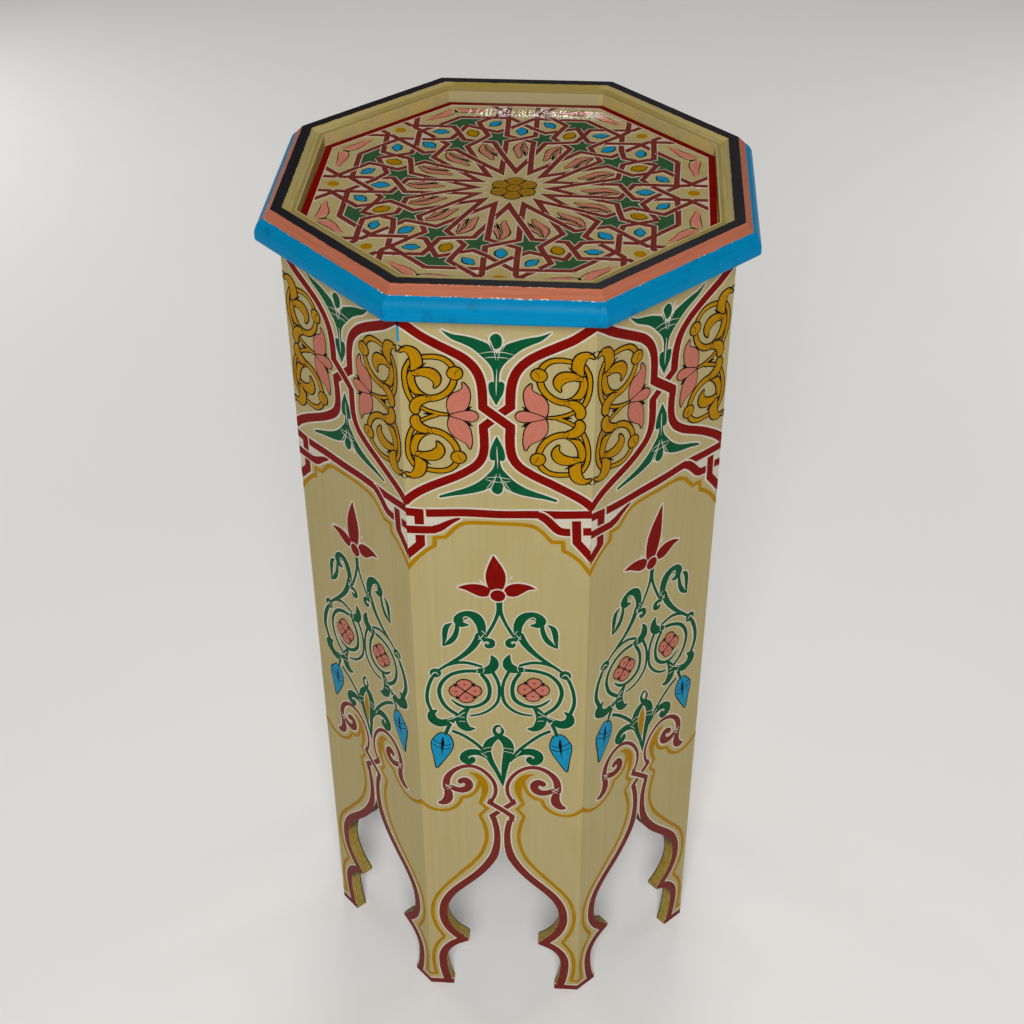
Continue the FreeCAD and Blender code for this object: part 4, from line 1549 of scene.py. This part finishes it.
@dataclass(frozen=True)
class TrayOrnament:
    """The sixteen-fold strapwork star of the tray, inside an eight-sided red border.

    A side's own frame has u outward and v along the side; a corner's frame has p outward and q across it.
    """

    strap: float = 4.4
    line: float = 0.85
    tip: float = 26.5
    arm: float = 76.0
    petal: float = 10.1
    lane: float = 11.0
    ring: float = 116.8
    border_in: float = 138.8
    border_out: float = 143.9

    def marks(self) -> list[Mark]:
        """Gives every stroke and patch of the tray.

        Returns:
            The strokes and patches.
        """
        made: list[Mark] = [*self.rosette()]
        for side in range(SIDES):
            angle = side * EIGHTH - math.pi / 2
            made += carried(self.fillings() + edged(self.straps(), margin=self.line), angle)
            made += carried(self.almonds() + self.sprigs() + self.border(), angle)
            made += carried(self.petal_leaf(), angle) + carried(self.petal_leaf(), angle + HALF_EIGHTH)
        return made

    def corner(self, p: float, q: float, hand: int) -> Point:
        """Gives a point of the corner frame on one hand of the side, in the side's frame."""
        return turned((p, q * hand), HALF_EIGHTH * hand)

    def straps(self) -> list[Stroke]:
        """Draws the straps of one side, cut into lengths that go over and under in turn.

        Returns:
            Its strokes.
        """
        tip, arm, petal, lane, ring = self.tip, self.arm, self.petal, self.lane, self.ring
        made = [
            self.length(3, self.corner(50, -petal, -1), (tip, 0), self.corner(50, -petal, 1)),
            self.length(3, (50, petal), self.corner(tip, 0, 1), turned((50, -petal), EIGHTH)),
        ]
        for hand in (1, -1):
            over, under = (2, 5) if hand > 0 else (5, 2)

            def side(u: float, v: float, hand: int = hand) -> Point:
                """Gives a point of the side's frame on this hand."""
                return (u, v * hand)

            def corner(p: float, q: float, hand: int = hand) -> Point:
                """Gives a point of the corner's frame on this hand."""
                return self.corner(p, q, hand)

            made += [
                self.length(over, side(42, petal), side(64, petal)),
                self.length(under, side(64, petal), side(arm, petal + 0.3), side(81, 0), side(86.6, -lane),
                            side(91, -lane)),
                self.length(over, side(91, -lane), side(104, -lane)),
                self.length(under, side(104, -lane), side(121, -lane)),
                self.length(over, side(121, -lane), side(124.5, -lane), side(141, -27)),
                self.length(under, corner(42, -petal), corner(64, -petal)),
                self.length(over, corner(64, -petal), corner(arm, -petal - 0.3), corner(82, 0),
                            corner(88, 9.4), corner(93, 9.6)),
                self.length(under, corner(93, 9.6), corner(108, 9.8)),
                self.length(under, corner(107.5, -9.8), corner(112, -10), side(114.5, 26.6)),
                self.length(over, side(114.2, 26.9), side(121, 20)),
                self.length(under, side(121, 20), side(130, lane), side(141, lane)),
                self.length(over, side(ring, 17), side(ring, 8.8), side(99.5, -8.5)),
                self.length(under, side(99.5, -8.5), side(92.2, -18.6), self.corner(99, -11.2, -hand)),
                self.length(2, self.corner(99, -11.2, -hand), self.corner(110.5, 0, -hand)),
                self.length(3, side(ring, 17), side(ring, 48.4)),
            ]
        return made

    def length(self, level: float, *path: Point) -> Stroke:
        """Draws one length of strap."""
        return rule(Paint.MAROON, self.strap, *path, level=level)

    def fillings(self) -> list[Patch]:
        """Fills one side's stars in green and its small three-cornered gaps in white.

        Returns:
            Its patches.
        """
        arm, petal, lane, ring = self.arm, self.petal, self.lane, self.ring
        made = []
        for hand in (1, -1):
            point = turned((51.6, 0), HALF_EIGHTH / 2 * hand)
            star = (point, (arm, petal * hand), (81, 0), (86.6, lane * hand), (97, lane * hand),
                    (92.2, 18.6 * hand), self.corner(102, -9.5, hand), self.corner(88, -9.4, hand),
                    self.corner(82, 0, hand), self.corner(arm, -petal, hand))
            gaps = (
                ((108, 0), (97.2, 10.8), (ring, 10.8), (ring, 8.6)),
                ((ring, lane), (130, lane), (ring, 24.4)),
                ((127.4, 13.6), (130, lane), (140.5, lane), (140.5, 26.6)),
            )
            made.append(Patch(Paint.GREEN, star))
            made += [Patch(Paint.WHITE, tuple((u, v * hand) for u, v in gap)) for gap in gaps]
        half = (self.corner(102, -9.6, 1), self.corner(112, -10, 1), (ring, 24.3))
        other = tuple(self.corner(p, q, 1) for p, q in ((102, 9.6), (112, 10)))
        made.append(Patch(Paint.GREEN, (self.corner(110.5, 0, 1), *half, self.corner(126.4, 0, 1),
                                        turned((ring, -24.3), EIGHTH), *other[::-1])))
        return made

    def almonds(self) -> list[Stroke]:
        """Draws one side's blue and ochre almonds and the ochre dot by the border.

        Returns:
            Its strokes.
        """
        made = self.almond(Paint.BLUE, (94.6, 0), 13, 8, 0, 0.64)
        for hand in (1, -1):
            made += self.almond(Paint.BLUE, (106.6, 21 * hand), 12, 7, math.radians(-42 * hand), 0.58)
        made += self.almond(Paint.OCHRE, self.corner(96.6, 0, 1), 12, 8, HALF_EIGHTH, 0.78)
        return [*made, dab(Paint.OCHRE, 128.6, 0, 4.2, level=1.4)]

    def almond(self, paint: Paint, middle: Point, length: float, width: float, turn: float,
               belly: float) -> list[Stroke]:
        """Draws a pointed oval with a black outline.

        Args:
            paint: Its colour.
            middle: Its middle.
            length: From point to point.
            width: Across the middle.
            turn: The direction of its length.
            belly: Its width halfway to a point, as a share of the middle's.
        Returns:
            Its strokes.
        """
        spots = [(length / 2 * share, 0) for share in (-1, -0.6, 0, 0.6, 1)]
        rim = [(length / 2 * share, -0.62 * width * (1 - share * share)) for share in (-0.9, -0.4, 0.4, 0.9)]
        widths = (0.4, belly * width, width, belly * width, 0.4)
        body = edged([pull(paint, widths, *spots, level=1.5)], Paint.BLACK, 0.6, 0.4)
        ink = pull(Paint.BLACK, (0.4, 0.8, 0.4), *rim, level=2)
        return moved(carried([*body, ink], turn), lambda x, y: (middle[0] + x, middle[1] + y))

    def petal_leaf(self) -> list[Stroke]:
        """Draws the pink flame-shaped leaf and its small twin in one long petal of the star, along u.

        Returns:
            Its strokes.
        """
        rose, ink = Paint.ROSE, Paint.BLACK
        leaf = pull(rose, (1.4, 4, 4.8, 4.6, 3.8, 0.8), (48.5, -0.8), (54, -0.8), (60, 0.6), (66, 1.5),
                    (71, 0.2), (76.5, -2.4), level=1.5)
        twin = pull(rose, (0.6, 2.8, 3, 2.2, 0.8), (57, -5.6), (61, -6.1), (65.4, -5.1), (69.4, -4),
                    (74.5, -3), level=1.3)
        lines = drawn(ink, [
            ((0.3, 0.8, 1, 0.9, 0.4), (58, 2.8), (62, 3.8), (66, 4.3), (71, 2.6), (75.5, -0.4)),
            ((0.4, 1, 1.1, 1, 0.4), (54.5, -6.4), (60, -7.8), (65, -6.8), (69.5, -5), (75.5, -4.2)),
            ((0.8, 1.7, 1.1, 0.8, 0.4), (52.4, -6.2), (56.6, -4.6), (61.6, -3), (66.4, -2), (70.5, -2.6)),
            ((0.3, 0.8, 0.3), (56, -7), (55.4, -4.6), (53.6, -3)),
        ], level=2.2)
        return edged([leaf], ink, 0.5, 0.3) + edged([twin], ink, 0.5, 0.3) + lines

    def sprigs(self) -> list[Stroke]:
        """Draws the pink leaves that lie along one side from its two corners.

        Returns:
            Its strokes.
        """
        made = []
        for hand in (1, -1):
            leaf = [
                pull(Paint.PINK, (1, 5, 6.8, 6.4, 4, 0.6), (130.4, 53), (130.6, 49), (128.6, 43),
                     (128.4, 37), (130, 31), (129.4, 25), level=1.5),
                *drawn(Paint.BLACK, [
                    ((0.4, 0.8, 0.9, 0.8, 0.4), (127, 53.2), (125.2, 48), (125.2, 41), (127.4, 34),
                     (128.6, 27)),
                    ((0.4, 0.7, 0.8, 0.4), (133.4, 52.6), (133, 46), (132.2, 39), (132, 31)),
                    ((0.4, 1.6, 0.4), (130.4, 54.4), (127.6, 52.6), (125, 51.4)),
                ], level=2.2),
            ]
            made += moved(leaf, lambda u, v, hand=hand: (u, v * hand))
        return made

    def border(self) -> list[Patch]:
        """Fills one side of the red border and the white line inside it.

        Returns:
            Its patches.
        """
        made = []
        rise = math.tan(HALF_EIGHTH)
        for paint, near, far, level in ((Paint.RED, self.border_in, self.border_out, 7.0),
                                        (Paint.WHITE, self.border_in - 0.9, self.border_in + 0.2, 6.6)):
            path = ((near, -near * rise), (far, -far * rise), (far, far * rise), (near, near * rise))
            made.append(Patch(paint, path, level))
        return made

    def rosette(self) -> list[Stroke]:
        """Draws the golden seven-lobed rosette in the middle.

        Returns:
            Its strokes.
        """
        x, y = 0.5, -0.2
        lobes, ink = [], [dab(Paint.MAROON, x, y, 0.7, level=3)]
        for sixth in range(6):
            lobe = math.radians(90 + 60 * sixth)
            gap = lobe - math.radians(30)
            across, up = math.cos(lobe), math.sin(lobe)
            lobes.append(dab(Paint.GOLD, x + 10.6 * across, y + 10.6 * up, 6.1, level=1.6))
            spots = [(x + reach * math.cos(gap), y + reach * math.sin(gap)) for reach in (5.6, 9, 13.4, 15.8)]
            ink.append(pull(Paint.BLACK, (0.8, 0.9, 1.6, 0.4), *spots, level=3))
            ink.append(dab(Paint.MAROON, x + 10.4 * across, y + 10.4 * up, 0.7, level=3))
        heart = [dab(Paint.GOLD, x, y, 5.2, level=2.4)]
        return edged(lobes, Paint.BLACK, 0.7, 0.3) + edged(heart, Paint.BLACK, 0.7, 0.3) + ink


@dataclass
class PaintedTable:
    """The table's finishes on the frame's pieces, and the brushwork over them."""

    nodes: dict[str, bpy.types.Object]
    pots: dict[Paint, bpy.types.Material] = field(default_factory=dict)

    def dress(self) -> None:
        """Gives every piece of the frame its finish."""
        finishes = {
            "side_panel": GroundPaint("cream_oil_paint_on_softwood_brushed", 0.45, 0.05),
            "rim_rail": RimPaint("four_band_gloss_oil_paint_on_rim", 0.34, 0.03),
            "tray_board": TrayPaint("varnished_cream_oil_paint", 0.5, 0.0, varnish=Varnish()),
            "corner_block": BareWood("bare_sawn_pine", 0.75),
            "top_cleat": BareWood("bare_sawn_pine_cleat", 0.75),
            "cleat_screws": DrawnSteel("drawn_steel_screws", 0.35),
            "cleat_pins": DrawnSteel("drawn_steel_pins", 0.35),
            "block_pins": DrawnSteel("drawn_steel_block_pins", 0.35),
        }
        for start, finish in finishes.items():
            material = finish.material()
            dressed = [node for name, node in self.nodes.items() if name.startswith(start)]
            for node in dressed:
                for slot in node.material_slots:
                    slot.material = material
            LOG.info("%s: finish on %d pieces", finish.name, len(dressed))

    def paint(self) -> None:
        """Lays the ornament on the eight sides and on the tray."""
        self.pots = {paint: finish.material() for paint, finish in POTS.items()}
        apothem_mm = -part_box("side_panel_1")[0].y / MM
        for index, hand in enumerate(HANDS):
            ground = SideGround(index, apothem_mm, hand=hand)
            ornament = SideOrnament(ochre_core=index % 2 == 1, dripped=index == 0, hand=hand)
            self.lay(ornament.marks(), ground, f"side_{index + 1}", "panel_paint")
        for paint, finish in TRAY_POTS.items():
            under = replace(finish, name=f"varnished_{finish.name}", gloss=0.0, varnish=Varnish())
            self.pots[paint] = under.material()
        self.lay(TrayOrnament().marks(), TrayGround(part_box("tray_board")[1].z / MM), "tray", "tray_paint")

    def lay(self, marks: list[Mark], ground: SideGround | TrayGround, face: str, slot: str) -> None:
        """Lays strokes on a ground, one piece to each paint.

        Args:
            marks: The strokes and patches.
            ground: The face that they lie on.
            face: The face's name, for the pieces' names.
            slot: The name of a material slot, passed on to each piece, which does not use it.
        """
        films: dict[Paint, FilmMesh] = {}
        for mark in marks:
            film = films.setdefault(mark.paint, FilmMesh(ground))
            if isinstance(mark, Patch):
                film.add_patch(mark)
            else:
                film.add_stroke(mark)
        for paint, film in films.items():
            piece = film.piece(f"{face}_{paint.value}_brushwork", self.pots[paint], slot)
            LOG.info("%s: %d faces", piece.name, len(piece.data.polygons))


@dataclass(frozen=True)
class Softbox:
    """An oblong soft light that looks at the table and is not seen itself."""

    name: str
    place: Triple
    size: Span
    power: float
    aim: Triple = (0.0, 0.0, 0.4)

    def hang(self) -> None:
        """Hangs the light."""
        lamp = bpy.data.lights.new(self.name, "AREA")
        lamp.shape = "RECTANGLE"
        lamp.size, lamp.size_y = self.size
        lamp.energy = self.power
        holder = bpy.data.objects.new(self.name, lamp)
        holder.location = self.place
        holder.visible_camera = False
        holder.rotation_euler = (Vector(self.aim) - Vector(self.place)).to_track_quat("-Z", "Y").to_euler()
        bpy.context.scene.collection.objects.link(holder)


@dataclass(frozen=True)
class Studio:
    """A pale floor, soft lights and the camera at the photograph's angle."""

    floor_half: float = 30.0
    lens: float = 58.82
    camera_place: Triple = (0.0760, -1.0798, 1.2437)
    yaw: float = -0.072
    pitch: float = math.radians(37.53)
    roll: float = 0.0055
    room_colour: str = "#fbfaf7"
    room_light: float = 0.06
    lights: tuple[Softbox, ...] = (
        Softbox("key_softbox", (0.1, -2.2, 2.1), (0.9, 0.9), 56.0),
        Softbox("back_softbox", (0.0, 2.2, 3.8), (1.6, 1.0), 26.0),
        Softbox("window_strip", (0.02, 2.6, 2.75), (0.62, 0.5), 9.5),
        Softbox("left_rear_fill", (-1.9, 1.5, 0.5), (0.9, 0.7), 12.0),
        Softbox("right_rear_fill", (1.9, 1.5, 0.5), (0.9, 0.7), 12.0),
    )

    def build(self) -> None:
        """Sets the floor, the lights, the world and the camera."""
        self.floor()
        for light in self.lights:
            light.hang()
        world = bpy.data.worlds.new("pale_room")
        world.use_nodes = True
        background = world.node_tree.nodes["Background"]
        background.inputs["Color"].default_value = linear(self.room_colour)
        background.inputs["Strength"].default_value = self.room_light
        bpy.context.scene.world = world
        bpy.context.scene.view_settings.view_transform = "Standard"
        self.camera()

    def floor(self) -> None:
        """Lays a wide pale floor with a faint mottle."""
        mesh = bpy.data.meshes.new("studio_floor")
        corners = np.array([[-1, -1, 0], [1, -1, 0], [1, 1, 0], [-1, 1, 0]]) * self.floor_half
        mesh.from_pydata(corners.tolist(), [], [[0, 1, 2, 3]])
        mesh.materials.append(FloorPaper("matt_pale_paper", 0.9, 0.1).material())
        floor = bpy.data.objects.new("studio_floor", mesh)
        bpy.context.scene.collection.objects.link(floor)

    def camera(self) -> None:
        """Puts the camera where the photograph was taken from, by yaw, pitch and roll."""
        ahead = Vector((math.cos(self.pitch) * math.sin(self.yaw), math.cos(self.pitch) * math.cos(self.yaw),
                        -math.sin(self.pitch)))
        level = Vector((math.cos(self.yaw), -math.sin(self.yaw), 0))
        down = ahead.cross(level)
        right = level * math.cos(self.roll) + down * math.sin(self.roll)
        up = right.cross(ahead)
        lens = bpy.data.cameras.new("photograph_camera")
        lens.lens = self.lens
        camera = bpy.data.objects.new("photograph_camera", lens)
        turn = Matrix((right, up, -ahead)).transposed().to_4x4()
        camera.matrix_world = Matrix.Translation(self.camera_place) @ turn
        bpy.context.scene.collection.objects.link(camera)
        bpy.context.scene.camera = camera


def main() -> None:
    """Loads the frame, dresses it, lays the brushwork, and sets the studio."""
    logging.basicConfig(level=logging.INFO, format="%(message)s")
    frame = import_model()
    table = PaintedTable(frame["nodes"])
    table.dress()
    table.paint()
    Studio().build()
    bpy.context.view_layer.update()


if __name__ == "__main__":
    main()
